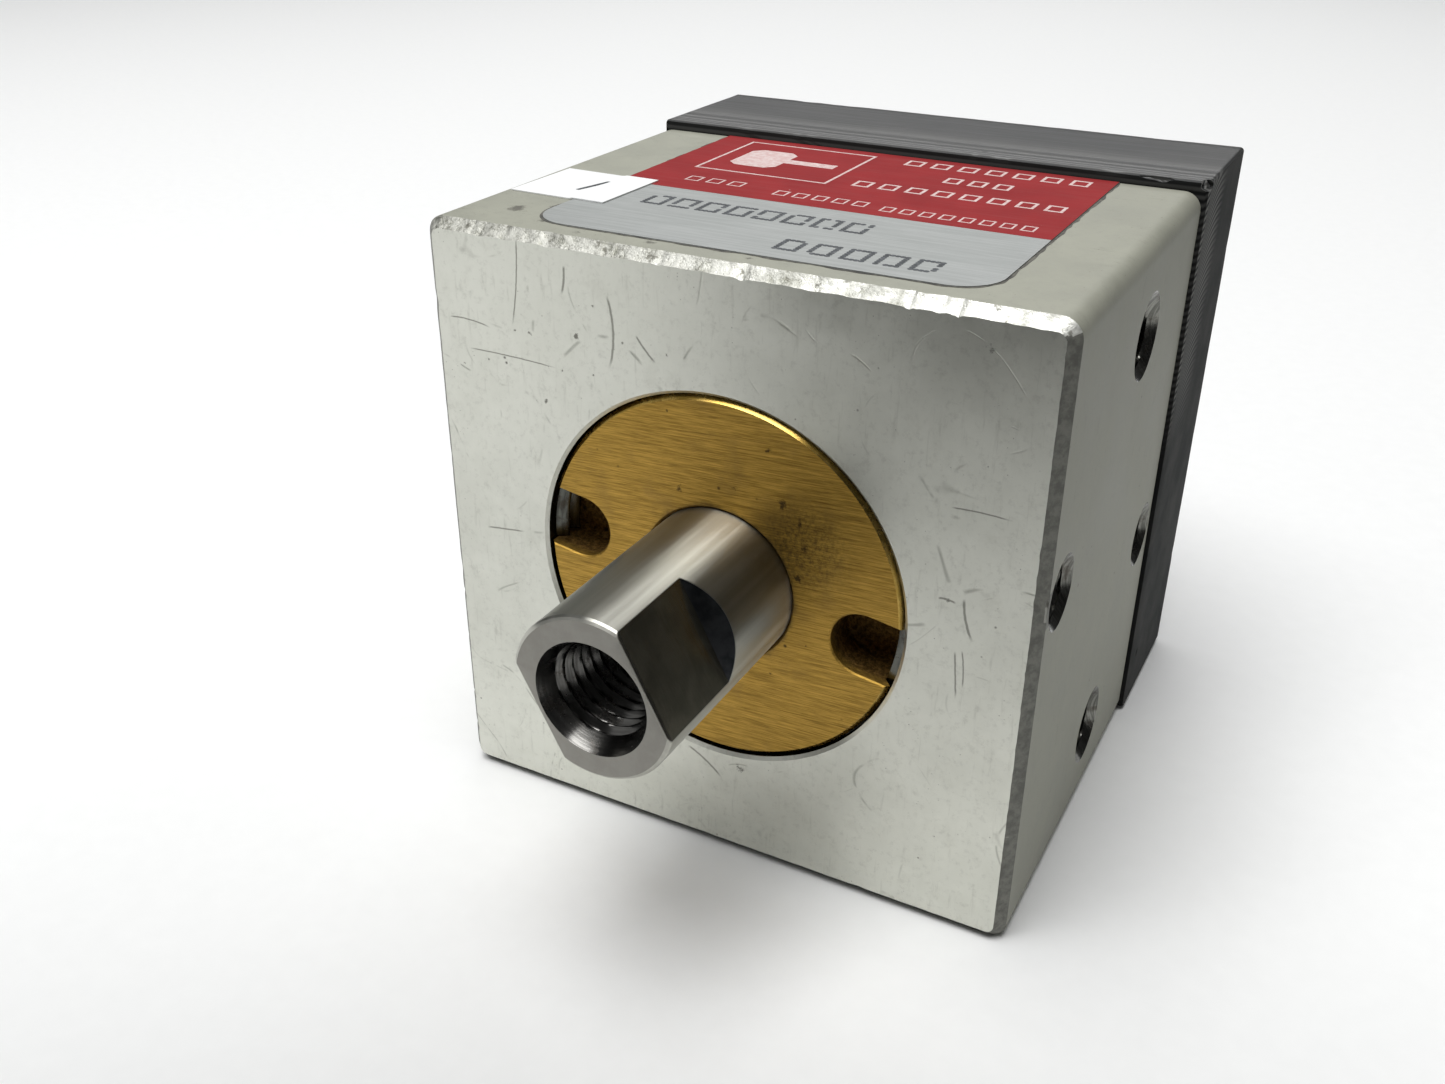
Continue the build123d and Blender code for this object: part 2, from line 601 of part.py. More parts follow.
piston_wear_ring.part.label = "piston_wear_ring"
export_step(piston_wear_ring.part, "parts/piston_wear_ring.step")

# ---------------------------------------------------------------- rear block
# A machined block, a little off centre on the body, counterbored from behind for its four screws.
SCREW_CLEARANCE_RADIUS = 2.6
COUNTERBORE_RADIUS = 4.3
COUNTERBORE_DEPTH = BODY_DEPTH + BLOCK_DEPTH - WASHER_FRONT

with BuildPart() as rear_block:
    with BuildSketch(facing_front(BODY_DEPTH)):
        with Locations((BLOCK_SHIFT_RIGHT, BLOCK_SHIFT_UP)):
            Rectangle(BLOCK_WIDTH, BLOCK_HEIGHT)
    extrude(amount=-BLOCK_DEPTH)
    chamfer(rear_block.edges(), length=BLOCK_EDGE_BREAK)
    with Locations(facing_rear(BODY_DEPTH + BLOCK_DEPTH)):
        with GridLocations(SCREW_SPACING, SCREW_SPACING, 2, 2):
            CounterBoreHole(SCREW_CLEARANCE_RADIUS, COUNTERBORE_RADIUS, COUNTERBORE_DEPTH)

rear_block.part.label = "rear_block"
export_step(rear_block.part, "parts/rear_block.step")

# ---------------------------------------------------------------- block screws
# Four socket-head cap screws hold the block to the body.
SCREW_HEAD_CHAMFER = 0.4

with BuildPart() as block_screws:
    with BuildSketch(facing_rear(SCREW_HEAD_REAR)):
        with GridLocations(SCREW_SPACING, SCREW_SPACING, 2, 2):
            Circle(SCREW_HEAD_RADIUS)
    extrude(amount=-SCREW_HEAD_HEIGHT)
    head_tops = block_screws.faces().group_by(Axis.Y)[-1]
    chamfer(head_tops.edges(), length=SCREW_HEAD_CHAMFER)
    with BuildSketch(facing_rear(SCREW_HEAD_FRONT)):
        with GridLocations(SCREW_SPACING, SCREW_SPACING, 2, 2):
            Circle(SCREW_SHANK_RADIUS)
    extrude(amount=-SCREW_LENGTH)
    with BuildSketch(facing_rear(SCREW_HEAD_REAR)):
        with GridLocations(SCREW_SPACING, SCREW_SPACING, 2, 2):
            RegularPolygon(SCREW_SOCKET_RADIUS, 6)
    extrude(amount=-SCREW_SOCKET_DEPTH, mode=Mode.SUBTRACT)

block_screws.part.label = "block_screws"
export_step(block_screws.part, "parts/block_screws.step")

# ---------------------------------------------------------------- lock washers
WASHER_OUTER_RADIUS = 4.1
WASHER_INNER_RADIUS = 2.5
WASHER_SPLIT = 0.5

with BuildPart() as lock_washers:
    with BuildSketch(facing_rear(WASHER_FRONT)):
        with GridLocations(SCREW_SPACING, SCREW_SPACING, 2, 2):
            Circle(WASHER_OUTER_RADIUS)
            Circle(WASHER_INNER_RADIUS, mode=Mode.SUBTRACT)
            with Locations((0, WASHER_OUTER_RADIUS)):
                Rectangle(WASHER_SPLIT, 2 * WASHER_INNER_RADIUS, mode=Mode.SUBTRACT)
    extrude(amount=WASHER_THICKNESS)

lock_washers.part.label = "lock_washers"
export_step(lock_washers.part, "parts/lock_washers.step")

# ---------------------------------------------------------------- nameplate label
# An adhesive foil label on the top face, with its two front corners rounded.
LABEL_WIDTH = LABEL_RIGHT - LABEL_LEFT
LABEL_LENGTH = LABEL_REAR_DEPTH - LABEL_FRONT_DEPTH

with BuildPart() as nameplate_label:
    with BuildSketch(Plane.XY.offset(BODY_SIDE)) as label_outline:
        with Locations((LABEL_LEFT, FRONT_Y + LABEL_FRONT_DEPTH)):
            Rectangle(LABEL_WIDTH, LABEL_LENGTH, align=(Align.MIN, Align.MIN))
        front_corners = label_outline.vertices().group_by(Axis.Y)[0]
        fillet(front_corners, radius=LABEL_CORNER_RADIUS)
    extrude(amount=LABEL_THICKNESS)

nameplate_label.part.label = "nameplate_label"
export_step(nameplate_label.part, "parts/nameplate_label.step")

# ---------------------------------------------------------------- paper sticker
# A small square of paper stuck across the label's left edge, slightly turned.
with BuildPart() as paper_sticker:
    with BuildSketch(Plane.XY.offset(BODY_SIDE + LABEL_THICKNESS)):
        with Locations((STICKER_CENTRE[0], FRONT_Y + STICKER_CENTRE[1])):
            Rectangle(STICKER_WIDTH, STICKER_LENGTH, rotation=STICKER_TURN)
    extrude(amount=LABEL_THICKNESS)

paper_sticker.part.label = "paper_sticker"
export_step(paper_sticker.part, "parts/paper_sticker.step")
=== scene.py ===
import random
from math import cos, pi, radians, sin, sqrt

import bpy
import bmesh
import numpy as np
from mathutils import Matrix, Vector, noise


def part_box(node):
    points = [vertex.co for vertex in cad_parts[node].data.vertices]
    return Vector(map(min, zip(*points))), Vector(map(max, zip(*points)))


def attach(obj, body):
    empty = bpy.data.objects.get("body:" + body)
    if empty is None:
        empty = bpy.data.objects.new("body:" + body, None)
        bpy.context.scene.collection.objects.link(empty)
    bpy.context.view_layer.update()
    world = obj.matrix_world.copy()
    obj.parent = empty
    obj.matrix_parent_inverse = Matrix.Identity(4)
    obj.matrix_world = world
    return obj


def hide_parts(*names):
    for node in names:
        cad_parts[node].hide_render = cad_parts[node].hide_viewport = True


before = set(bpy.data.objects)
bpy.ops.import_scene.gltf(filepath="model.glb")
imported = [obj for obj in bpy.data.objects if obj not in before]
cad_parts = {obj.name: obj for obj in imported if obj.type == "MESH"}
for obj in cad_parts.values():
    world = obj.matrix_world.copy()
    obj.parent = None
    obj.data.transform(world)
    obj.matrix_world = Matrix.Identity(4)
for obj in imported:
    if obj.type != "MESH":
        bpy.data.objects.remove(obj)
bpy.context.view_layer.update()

MM = 0.001

# Places read from the frame
BODY_LOW, BODY_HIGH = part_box("cylinder_body")
GLAND_LOW, GLAND_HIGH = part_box("rod_gland")
ROD_LOW, ROD_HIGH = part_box("piston_rod")
BLOCK_LOW, BLOCK_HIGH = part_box("rear_block")
LABEL_LOW, LABEL_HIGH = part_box("nameplate_label")
STICKER_LOW, STICKER_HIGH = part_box("paper_sticker")
RING_LOW, RING_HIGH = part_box("retaining_ring")
HEAD_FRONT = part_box("rear_head")[0].y
PISTON_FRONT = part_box("piston")[0].y

FRONT = BODY_LOW.y
REAR = BODY_HIGH.y
SIDE = BODY_HIGH.x
TOP = BODY_HIGH.z
AXIS_HEIGHT = (BODY_LOW.z + BODY_HIGH.z) / 2
ROD_RADIUS = (ROD_HIGH.x - ROD_LOW.x) / 2
ROD_TIP = ROD_LOW.y
GLAND_RADIUS = (GLAND_HIGH.x - GLAND_LOW.x) / 2


# Mesh tools
def new_object(name, mesh):
    """Adds an object for this mesh to the scene."""
    piece = bpy.data.objects.new(name, mesh)
    bpy.context.scene.collection.objects.link(piece)
    return piece


def outward(mesh):
    """Turns every face of a closed mesh outwards."""
    work = bmesh.new()
    work.from_mesh(mesh)
    bmesh.ops.recalc_face_normals(work, faces=work.faces)
    work.to_mesh(mesh)
    work.free()


def skin(name, rings, wrap=False, chamfer_rows=0):
    """A closed mesh through rings of equally many points. wrap joins the last ring to the first, or else both
    ends are capped. The first chamfer_rows rows of faces get material 1, and the others get 0."""
    count = len(rings)
    size = len(rings[0])
    faces = []
    indices = []
    for row in range(count if wrap else count - 1):
        start = row * size
        following = (row + 1) % count * size
        for step in range(size):
            after = (step + 1) % size
            faces.append((start + step, start + after, following + after, following + step))
            indices.append(int(row < chamfer_rows))
    if not wrap:
        faces.append(tuple(range(size)))
        faces.append(tuple(range((count - 1) * size, count * size)))
        indices += [0, 0]
    mesh = bpy.data.meshes.new(name)
    mesh.from_pydata(np.concatenate(rings).tolist(), [], faces)
    mesh.polygons.foreach_set("material_index", indices)
    outward(mesh)
    return new_object(name, mesh)


def circle_angles(steps):
    """Evenly spaced angles round a turned piece."""
    return np.linspace(0, 2 * pi, steps, endpoint=False)


def ring(y, radius, angles):
    """Points round the Y axis at this y, at one radius or at one radius for each angle."""
    radii = np.broadcast_to(radius, angles.shape)
    return np.column_stack((radii * np.cos(angles), np.full(angles.shape, y), radii * np.sin(angles)))


def turned(name, profile, steps, wrap=False):
    """A piece turned about the Y axis through (y, radius) pairs."""
    angles = circle_angles(steps)
    return skin(name, [ring(y, radius, angles) for y, radius in profile], wrap)


def thread(y, angles, pitch, root, crest):
    """The radius of a right-hand screw thread: a triangle wave with small flats on its crest and root."""
    phase = (y / pitch - angles / (2 * pi)) % 1.0
    ridge = np.clip(1.3 * (1 - np.abs(2 * phase - 1)) - 0.15, 0, 1)
    return root + (crest - root) * ridge


def place(piece, matrix):
    """Moves a piece by moving its points, so that its object stays at the origin."""
    piece.data.transform(matrix)
    return piece


def on_rod_axis(piece):
    """Lifts a piece made round the Y axis onto the rod's axis."""
    return place(piece, Matrix.Translation((0, 0, AXIS_HEIGHT)))


def from_axis(point):
    """A point's distance from the rod's axis."""
    return sqrt(point.x**2 + (point.z - AXIS_HEIGHT) ** 2)


def cut(target, cutters):
    """Subtracts each cutter from the target, and removes it."""
    for cutter in cutters:
        modifier = target.modifiers.new("cut", "BOOLEAN")
        modifier.operation = "DIFFERENCE"
        modifier.solver = "EXACT"
        modifier.object = cutter
        graph = bpy.context.evaluated_depsgraph_get()
        mesh = bpy.data.meshes.new_from_object(target.evaluated_get(graph))
        target.modifiers.clear()
        target.data = mesh
        bpy.data.objects.remove(cutter)


def shade(piece, angle=28):
    """Smooth shading that keeps every edge sharper than the angle, in degrees."""
    mesh = piece.data
    mesh.polygons.foreach_set("use_smooth", [True] * len(mesh.polygons))
    mesh.set_sharp_from_angle(angle=radians(angle))


def mark_faces(piece, index, chosen):
    """Gives a material index to the faces that chosen(centre, normal) accepts."""
    for face in piece.data.polygons:
        if chosen(face.center, face.normal):
            face.material_index = index


def finish_piece(piece, materials, body, nodes):
    """Gives a piece its materials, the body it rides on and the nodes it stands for."""
    for material in materials:
        piece.data.materials.append(material)
    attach(piece, body)
    if nodes:
        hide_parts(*nodes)


# Material tools
class Paint:
    """One procedural material. Sizes and depths are in millimetres, and a mask is a socket from 0 to 1."""

    def __init__(self, name, **constants):
        self.material = bpy.data.materials.new(name)
        self.material.use_nodes = True
        self.tree = self.material.node_tree
        self.shader = self.tree.nodes["Principled BSDF"]
        self.spot = self.tree.nodes.new("ShaderNodeTexCoord").outputs["Object"]
        for socket, value in constants.items():
            self.shader.inputs[socket.replace("_", " ")].default_value = value

    def feed(self, socket, value):
        """Links a socket into another, or sets its value."""
        if isinstance(value, bpy.types.NodeSocket):
            self.tree.links.new(value, socket)
        elif isinstance(value, tuple) and socket.type == "RGBA":
            socket.default_value = (*value, 1)
        else:
            socket.default_value = value

    def node(self, kind, inputs, **settings):
        """Adds a node with these inputs and settings."""
        made = self.tree.nodes.new(kind)
        for key, value in settings.items():
            setattr(made, key, value)
        for key, value in inputs.items():
            self.feed(made.inputs[key], value)
        return made

    def space(self, stretch=(1, 1, 1), turn=(0, 0, 0), shift=0.0):
        """Object coordinates, drawn out by stretch along each axis after a turn in degrees."""
        inputs = {"Vector": self.spot, "Rotation": tuple(radians(angle) for angle in turn)}
        turned_spot = self.node("ShaderNodeMapping", inputs).outputs[0]
        scale = tuple(1 / share for share in stretch)
        inputs = {"Vector": turned_spot, "Scale": scale, "Location": (shift, shift * 1.7, shift * 0.6)}
        return self.node("ShaderNodeMapping", inputs).outputs[0]

    def noise(self, size, detail=3.0, rough=0.55, **where):
        """Soft noise with features about this size."""
        inputs = {"Vector": self.space(**where), "Scale": 1 / (size * MM)}
        inputs.update({"Detail": detail, "Roughness": rough})
        return self.node("ShaderNodeTexNoise", inputs).outputs[0]

    def axis(self, letter):
        """The object coordinate along X, Y or Z, in metres."""
        return self.node("ShaderNodeSeparateXYZ", {0: self.spot}).outputs[letter]

    def sum(self, operation, first, second=0.0):
        """One arithmetic step."""
        return self.node("ShaderNodeMath", {0: first, 1: second}, operation=operation).outputs[0]

    def minus(self, first, second):
        """The first less the second."""
        return self.sum("SUBTRACT", first, second)

    def both(self, first, second):
        """Two masks or numbers multiplied."""
        return self.sum("MULTIPLY", first, second)

    def strongest(self, masks):
        """The strongest of several masks."""
        result = masks[0]
        for mask in masks[1:]:
            result = self.sum("MAXIMUM", result, mask)
        return result

    def vectors(self, operation, first, second, output):
        """One step with vectors."""
        made = self.node("ShaderNodeVectorMath", {0: first, 1: tuple(second)}, operation=operation)
        return made.outputs[output]

    def distance(self, centre):
        """The distance from a point, in metres."""
        return self.vectors("DISTANCE", self.spot, centre, "Value")

    def fade(self, value, low, high, to_low=0.0, to_high=1.0):
        """Maps low..high smoothly onto to_low..to_high, and holds it beyond them."""
        inputs = {"Value": value, "From Min": low, "From Max": high, "To Min": to_low, "To Max": to_high}
        return self.node("ShaderNodeMapRange", inputs, interpolation_type="SMOOTHSTEP").outputs[0]

    def mix(self, share, first, second):
        """From the first colour to the second."""
        made = self.node("ShaderNodeMix", {}, data_type="RGBA")
        self.feed(made.inputs["Factor"], share)
        self.feed(made.inputs[6], first)
        self.feed(made.inputs[7], second)
        return made.outputs[2]

    def tones(self, mask, dark, light, low=0.35, high=0.65):
        """From the dark colour to the light one as the mask goes from low to high."""
        return self.mix(self.fade(mask, low, high), dark, light)

    def layer(self, base, mask, strength, colour):
        """A base colour with another colour over it where the mask is, at this strength."""
        return self.mix(self.both(mask, strength), base, colour)

    def specks(self, size, share, **where):
        """A mask of scattered dots, about this far apart; share is how wide they are."""
        inputs = {"Vector": self.space(**where), "Scale": 1 / (size * MM)}
        away = self.node("ShaderNodeTexVoronoi", inputs).outputs["Distance"]
        shape = self.noise(size * 0.35, 2, **where)
        spread = self.noise(size * 5, 2, **where)
        reach = self.both(self.fade(spread, 0.42, 0.68, 0.15, 1.0), share)
        edge = self.minus(reach, self.both(shape, share * 0.7))
        return self.fade(self.minus(edge, away), -0.03, 0.03)

    def hairlines(self, size, length, share, **where):
        """A mask of thin, faint, broken scratches along X, before any turn."""
        field = self.noise(size, 0, stretch=(length, 1, length), **where)
        line = self.fade(self.sum("ABSOLUTE", self.minus(field, 0.5)), 0.0, share, 1.0, 0.0)
        return self.both(line, self.fade(self.noise(size * 6, 2, **where), 0.52, 0.64))

    def scratch(self, start, end, width, sag):
        """A mask of one scratch on the front face between two (x, z) points, which bows sideways by sag."""
        start = Vector((start[0], 0, start[1]))
        way = Vector((end[0], 0, end[1])) - start
        side = Vector((-way.z, 0, way.x)).normalized()
        from_start = self.vectors("SUBTRACT", self.spot, start, 0)
        along = self.vectors("DOT_PRODUCT", from_start, way / way.length_squared, "Value")
        across = self.vectors("DOT_PRODUCT", from_start, side, "Value")
        bow = self.both(self.both(along, self.minus(1.0, along)), 4 * sag)
        ragged = self.both(self.minus(self.noise(0.5, 3), 0.5), 0.5 * width)
        away = self.sum("ABSOLUTE", self.sum("ADD", self.minus(across, bow), ragged))
        inside = self.both(self.fade(along, 0.0, 0.12), self.fade(along, 0.8, 1.0, 1.0, 0.0))
        return self.both(self.fade(away, 0.25 * width, 0.6 * width, 1.0, 0.0), inside)

    def smudge(self, centre, radius):
        """A mask of one ragged dark spot about a point."""
        ragged = self.both(self.noise(radius * 0.7, 5, 0.75), 2.6 * radius * MM)
        away = self.sum("ADD", self.distance(centre), ragged)
        return self.fade(away, 1.35 * radius * MM, 1.75 * radius * MM, 1.0, 0.0)

    def colour(self, value):
        """Sets the base colour."""
        self.feed(self.shader.inputs["Base Color"], value)

    def roughness(self, mask, low, high, reach=0.2):
        """Roughness from low to high, as the mask goes from 0.5 - reach to 0.5 + reach."""
        value = self.fade(mask, 0.5 - reach, 0.5 + reach, low, high)
        self.feed(self.shader.inputs["Roughness"], value)

    def bump(self, height, depth, under=None):
        """Raises the surface by height times depth, on top of another bump if given."""
        inputs = {"Height": height, "Distance": depth * MM, "Strength": 1.0}
        if under is not None:
            inputs["Normal"] = under
        normal = self.node("ShaderNodeBump", inputs).outputs[0]
        self.feed(self.shader.inputs["Normal"], normal)
        return normal


def two_tone(name, metal, mottle, tones, rough, depth=0.0, grain=None):
    """A simple material: one noise mixes two tones, and its grain, or the same noise where there is none,
    varies the roughness and raises the surface by depth."""
    paint = Paint(name, Metallic=metal)
    blotches = paint.noise(**mottle)
    fine = paint.noise(**grain) if grain else blotches
    paint.colour(paint.tones(blotches, *tones))
    paint.roughness(fine, *rough)
    if depth:
        paint.bump(fine, depth)
    return paint.material


# Marks on the surfaces: places in mm from the rod's axis, (x, z), then sizes in mm
FRONT_SCRATCHES = (
    ((-9.0, 21.8), (-9.0, 15.9), 0.22, 0.5),
    ((-6.6, 19.1), (-4.9, 17.2), 0.18, -0.1),
    ((-12.6, 23.4), (-12.9, 21.1), 0.22, 0.1),
    ((-16.7, 25.0), (-17.6, 17.8), 0.14, 0.2),
    ((-23.6, 17.7), (-19.6, 17.4), 0.13, 0.2),
    ((-22.0, 15.4), (-13.5, 15.2), 0.12, 0.1),
    ((-21.6, -0.3), (-17.7, 0.2), 0.16, 0.0),
    ((18.1, 11.1), (22.5, 11.1), 0.13, 0.1),
    ((19.7, 4.4), (20.6, 1.0), 0.22, -0.2),
    ((17.8, 3.9), (19.2, 3.8), 0.20, 0.1),
    ((19.4, 0.0), (19.8, -4.1), 0.15, 0.0),
    ((19.9, 0.2), (20.2, -3.1), 0.13, 0.1),
    ((-2.6, -16.0), (0.7, -18.3), 0.22, 0.2),
)
FRONT_SMUDGES = (
    ((-11.8, 18.1), 0.55),
    ((-16.0, 17.6), 0.35),
    ((-17.4, 17.6), 0.30),
    ((-4.0, 18.0), 0.30),
    ((2.3, -16.7), 0.75),
    ((19.8, 22.7), 0.60),
    ((18.6, 3.9), 0.45),
    ((-14.9, 12.3), 0.40),
    ((-10.2, 20.7), 0.30),
    ((-13.2, 15.1), 0.28),
    ((-10.4, 15.3), 0.26),
    ((-7.7, 18.3), 0.34),
    ((-22.4, 14.0), 0.30),
)
GLAND_SMUDGES = (
    ((-3.2, 7.5), 0.65),
    ((-4.2, 13.6), 0.28),
    ((7.7, -3.3), 0.28),
    ((4.8, -6.7), 0.32),
    ((5.4, 8.2), 0.9),
    ((6.8, 6.8), 0.9),
    ((7.3, 5.0), 0.8),
    ((6.9, 2.4), 0.7),
    ((4.2, 12.2), 0.5),
    ((1.5, 8.6), 0.6),
)
# The same for the top face, from the front: (x, depth)
TOP_SMUDGES = (
    ((-20.3, 5.4), 2.2),
    ((-17.6, 7.0), 1.3),
    ((-16.4, 3.2), 1.0),
    ((-24.6, 34.2), 1.6),
    ((-6.5, 2.1), 0.9),
    ((1.5, 2.0), 0.8),
    ((-12.5, 1.9), 1.0),
)
GREASE_SPOT = (7.2 * MM, GLAND_LOW.y, AXIS_HEIGHT + 5.0 * MM)


def from_rod_axis(x, z):
    """Millimetres from the rod's axis as scene coordinates (x, z)."""
    return x * MM, AXIS_HEIGHT + z * MM


def smudges_at(paint, y, marks):
    """Smudges at these places about the rod's axis, as a list of masks."""
    masks = []
    for spot, radius in marks:
        x, z = from_rod_axis(*spot)
        masks.append(paint.smudge((x, y, z), radius))
    return masks


def front_marks(paint):
    """The front face's own scratches and dark spots, as one mask."""
    masks = []
    for start, end, width, sag in FRONT_SCRATCHES:
        line = paint.scratch(from_rod_axis(*start), from_rod_axis(*end), width * MM, sag * MM)
        masks.append(paint.both(line, 0.8))
    return paint.strongest(masks + smudges_at(paint, FRONT, FRONT_SMUDGES))


def top_marks(paint):
    """Dirt on the top face round the label's front, as one mask."""
    masks = [paint.smudge((x * MM, FRONT + y * MM, TOP), radius) for (x, y), radius in TOP_SMUDGES]
    return paint.strongest(masks)


# Materials
def anodised(name, tones, metal, rough, seed, marks):
    """Clear-anodised aluminium: a fine matt grain with pits, faint scratches and handling grime."""
    paint = Paint(name, Metallic=metal, Specular_IOR_Level=0.3)
    grain = paint.noise(0.10, 3, shift=seed)
    patches = paint.noise(7, 6, 0.65, shift=seed)
    mottle = paint.noise(0.6, 5, 0.75, shift=seed + 0.2)
    grime = paint.fade(paint.noise(3.5, 6, 0.7, shift=seed + 0.3), 0.55, 0.78)
    upright = paint.hairlines(0.35, 24, 0.010, turn=(0, 82, 0), shift=seed + 0.9)
    level = paint.hairlines(0.4, 20, 0.008, turn=(0, -8, 0), shift=seed + 1.9)
    lines = paint.strongest([upright, paint.both(level, 0.5)])
    streaks = paint.noise(0.5, 4, 0.65, stretch=(1, 1, 9), shift=seed + 2.3)
    spots = paint.strongest([paint.specks(1.5, 0.11, shift=seed), paint.specks(0.5, 0.13, shift=seed + 0.7)])
    base = paint.tones(patches, *tones, 0.3, 0.7)
    base = paint.mix(paint.fade(mottle, 0.50, 0.72, 0, 0.22), base, (0.24, 0.235, 0.21))
    base = paint.layer(base, grime, 0.20, (0.30, 0.29, 0.24))
    base = paint.mix(paint.fade(streaks, 0.56, 0.72, 0, 0.22), base, (0.26, 0.255, 0.22))
    base = paint.layer(base, lines, 0.45, (0.17, 0.17, 0.145))
    base = paint.layer(base, marks(paint), 0.8, (0.085, 0.08, 0.065))
    paint.colour(paint.layer(base, spots, 0.7, (0.09, 0.085, 0.07)))
    duller = paint.sum("ADD", paint.both(spots, 0.1 - metal), metal)
    paint.feed(paint.shader.inputs["Metallic"], duller)
    paint.roughness(patches, *rough, reach=0.25)
    relief = paint.bump(grain, 0.004)
    paint.bump(paint.minus(1.0, paint.strongest([spots, lines])), 0.012, relief)
    return paint.material


def anodised_sides():
    """The bar's extruded faces: a matt, slightly green grey."""
    tones = (0.30, 0.302, 0.25), (0.35, 0.352, 0.29)
    return anodised("anodised_sides", tones, 0.12, (0.50, 0.60), 0.0, top_marks)


def anodised_front():
    """The milled front face: brighter and more metallic than the sides."""
    tones = (0.59, 0.595, 0.536), (0.67, 0.675, 0.612)
    return anodised("anodised_front", tones, 0.95, (0.28, 0.36), 5.0, front_marks)


def bare_edge():
    """The body's worn upper front edge: cream-white bare metal, dented, with dark nicks."""
    paint = Paint("bare_edge", Metallic=0.75)
    dents = paint.noise(0.6, 5, 0.7)
    rub = paint.noise(3.0, 4, 0.65, shift=0.2)
    nicks = paint.fade(paint.noise(1.0, 4, 0.65, shift=0.4), 0.57, 0.66)
    brighter = paint.fade(paint.axis("X"), BODY_LOW.x, SIDE, 0.15, 1.0)
    base = paint.tones(dents, (0.22, 0.22, 0.185), (0.50, 0.50, 0.455), 0.35, 0.62)
    base = paint.layer(base, paint.fade(rub, 0.35, 0.6), brighter, (0.78, 0.78, 0.73))
    paint.colour(paint.layer(base, nicks, 0.75, (0.12, 0.115, 0.09)))
    paint.roughness(dents, 0.38, 0.62)
    paint.bump(dents, 0.10)
    return paint.material


def dull_edge_painted_shade():
    """The other front edges: painted dark grey as shade, since these chamfers face away from the light, with
    small pale knocks.
    """
    paint = Paint("dull_edge_painted_shade", Metallic=0.3, Specular_IOR_Level=0.2)
    dents = paint.noise(0.8, 5, 0.7)
    knocks = paint.fade(paint.noise(0.7, 5, 0.7, shift=0.6), 0.70, 0.76)
    # Painted shade: the dark grey tones stand for the shade on these chamfers.
    base = paint.tones(dents, (0.13, 0.13, 0.115), (0.22, 0.22, 0.195))
    paint.colour(paint.mix(knocks, base, (0.46, 0.46, 0.42)))
    paint.roughness(dents, 0.45, 0.6)
    paint.bump(dents, 0.05)
    return paint.material


def gland_rim():
    """The gland's chamfered rim: the same bronze, polished by handling."""
    tones = (0.42, 0.27, 0.06), (0.62, 0.42, 0.12)
    return two_tone("gland_rim", 1.0, dict(size=1.3, detail=4, rough=0.65), tones, (0.20, 0.30), 0.01)


def gland_bronze():
    """Bronze with a straight brushed face, dark streaks, grease round the rod and brown, rough notches."""
    paint = Paint("gland_bronze", Metallic=1.0)
    strands = paint.noise(0.11, 4, 0.75, stretch=(26, 1, 1), turn=(0, 3, 0))
    bands = paint.noise(0.5, 4, 0.65, stretch=(12, 1, 1), turn=(0, 3, 0), shift=0.5)
    mottle = paint.noise(3, 4, 0.6, shift=0.8)
    crumbs = paint.noise(0.35, 5, 0.75)
    deep = paint.fade(paint.axis("Y"), GLAND_LOW.y + 0.1 * MM, GLAND_LOW.y + 1.2 * MM)
    base = paint.tones(strands, (0.255, 0.150, 0.030), (0.61, 0.385, 0.085), 0.3, 0.7)
    base = paint.mix(paint.fade(bands, 0.50, 0.78, 0, 0.5), base, (0.14, 0.08, 0.018))
    base = paint.mix(paint.fade(mottle, 0.52, 0.75, 0, 0.35), base, (0.24, 0.15, 0.05))
    brown = paint.tones(crumbs, (0.07, 0.035, 0.012), (0.33, 0.20, 0.07), 0.4, 0.65)
    base = paint.layer(base, deep, 0.85, brown)
    base = paint.layer(base, paint.specks(2.4, 0.13, shift=0.2), 0.85, (0.04, 0.025, 0.015))
    marks = paint.strongest(smudges_at(paint, GLAND_LOW.y, GLAND_SMUDGES))
    base = paint.layer(base, marks, 0.8, (0.05, 0.032, 0.018))
    smeared = paint.fade(paint.distance(GREASE_SPOT), 1.0 * MM, 5.0 * MM, 0.6, 0.0)
    base = paint.layer(base, smeared, paint.fade(crumbs, 0.42, 0.62), (0.07, 0.05, 0.025))
    height = paint.minus(paint.axis("Z"), AXIS_HEIGHT)
    square = paint.sum("ADD", paint.both(paint.axis("X"), paint.axis("X")), paint.both(height, height))
    ragged = paint.sum("ADD", paint.sum("SQRT", square), paint.both(paint.noise(1.1, 5), 1.4 * MM))
    grease = paint.fade(ragged, ROD_RADIUS + 0.7 * MM, ROD_RADIUS + 1.3 * MM, 0.5, 0.0)
    paint.colour(paint.mix(grease, base, (0.06, 0.045, 0.03)))
    gloss = paint.strongest([paint.fade(strands, 0.2, 0.8, 0.42, 0.58), paint.both(deep, 0.6)])
    paint.feed(paint.shader.inputs["Roughness"], gloss)
    relief = paint.bump(strands, 0.012)
    paint.bump(paint.both(crumbs, deep), 0.15, relief)
    return paint.material


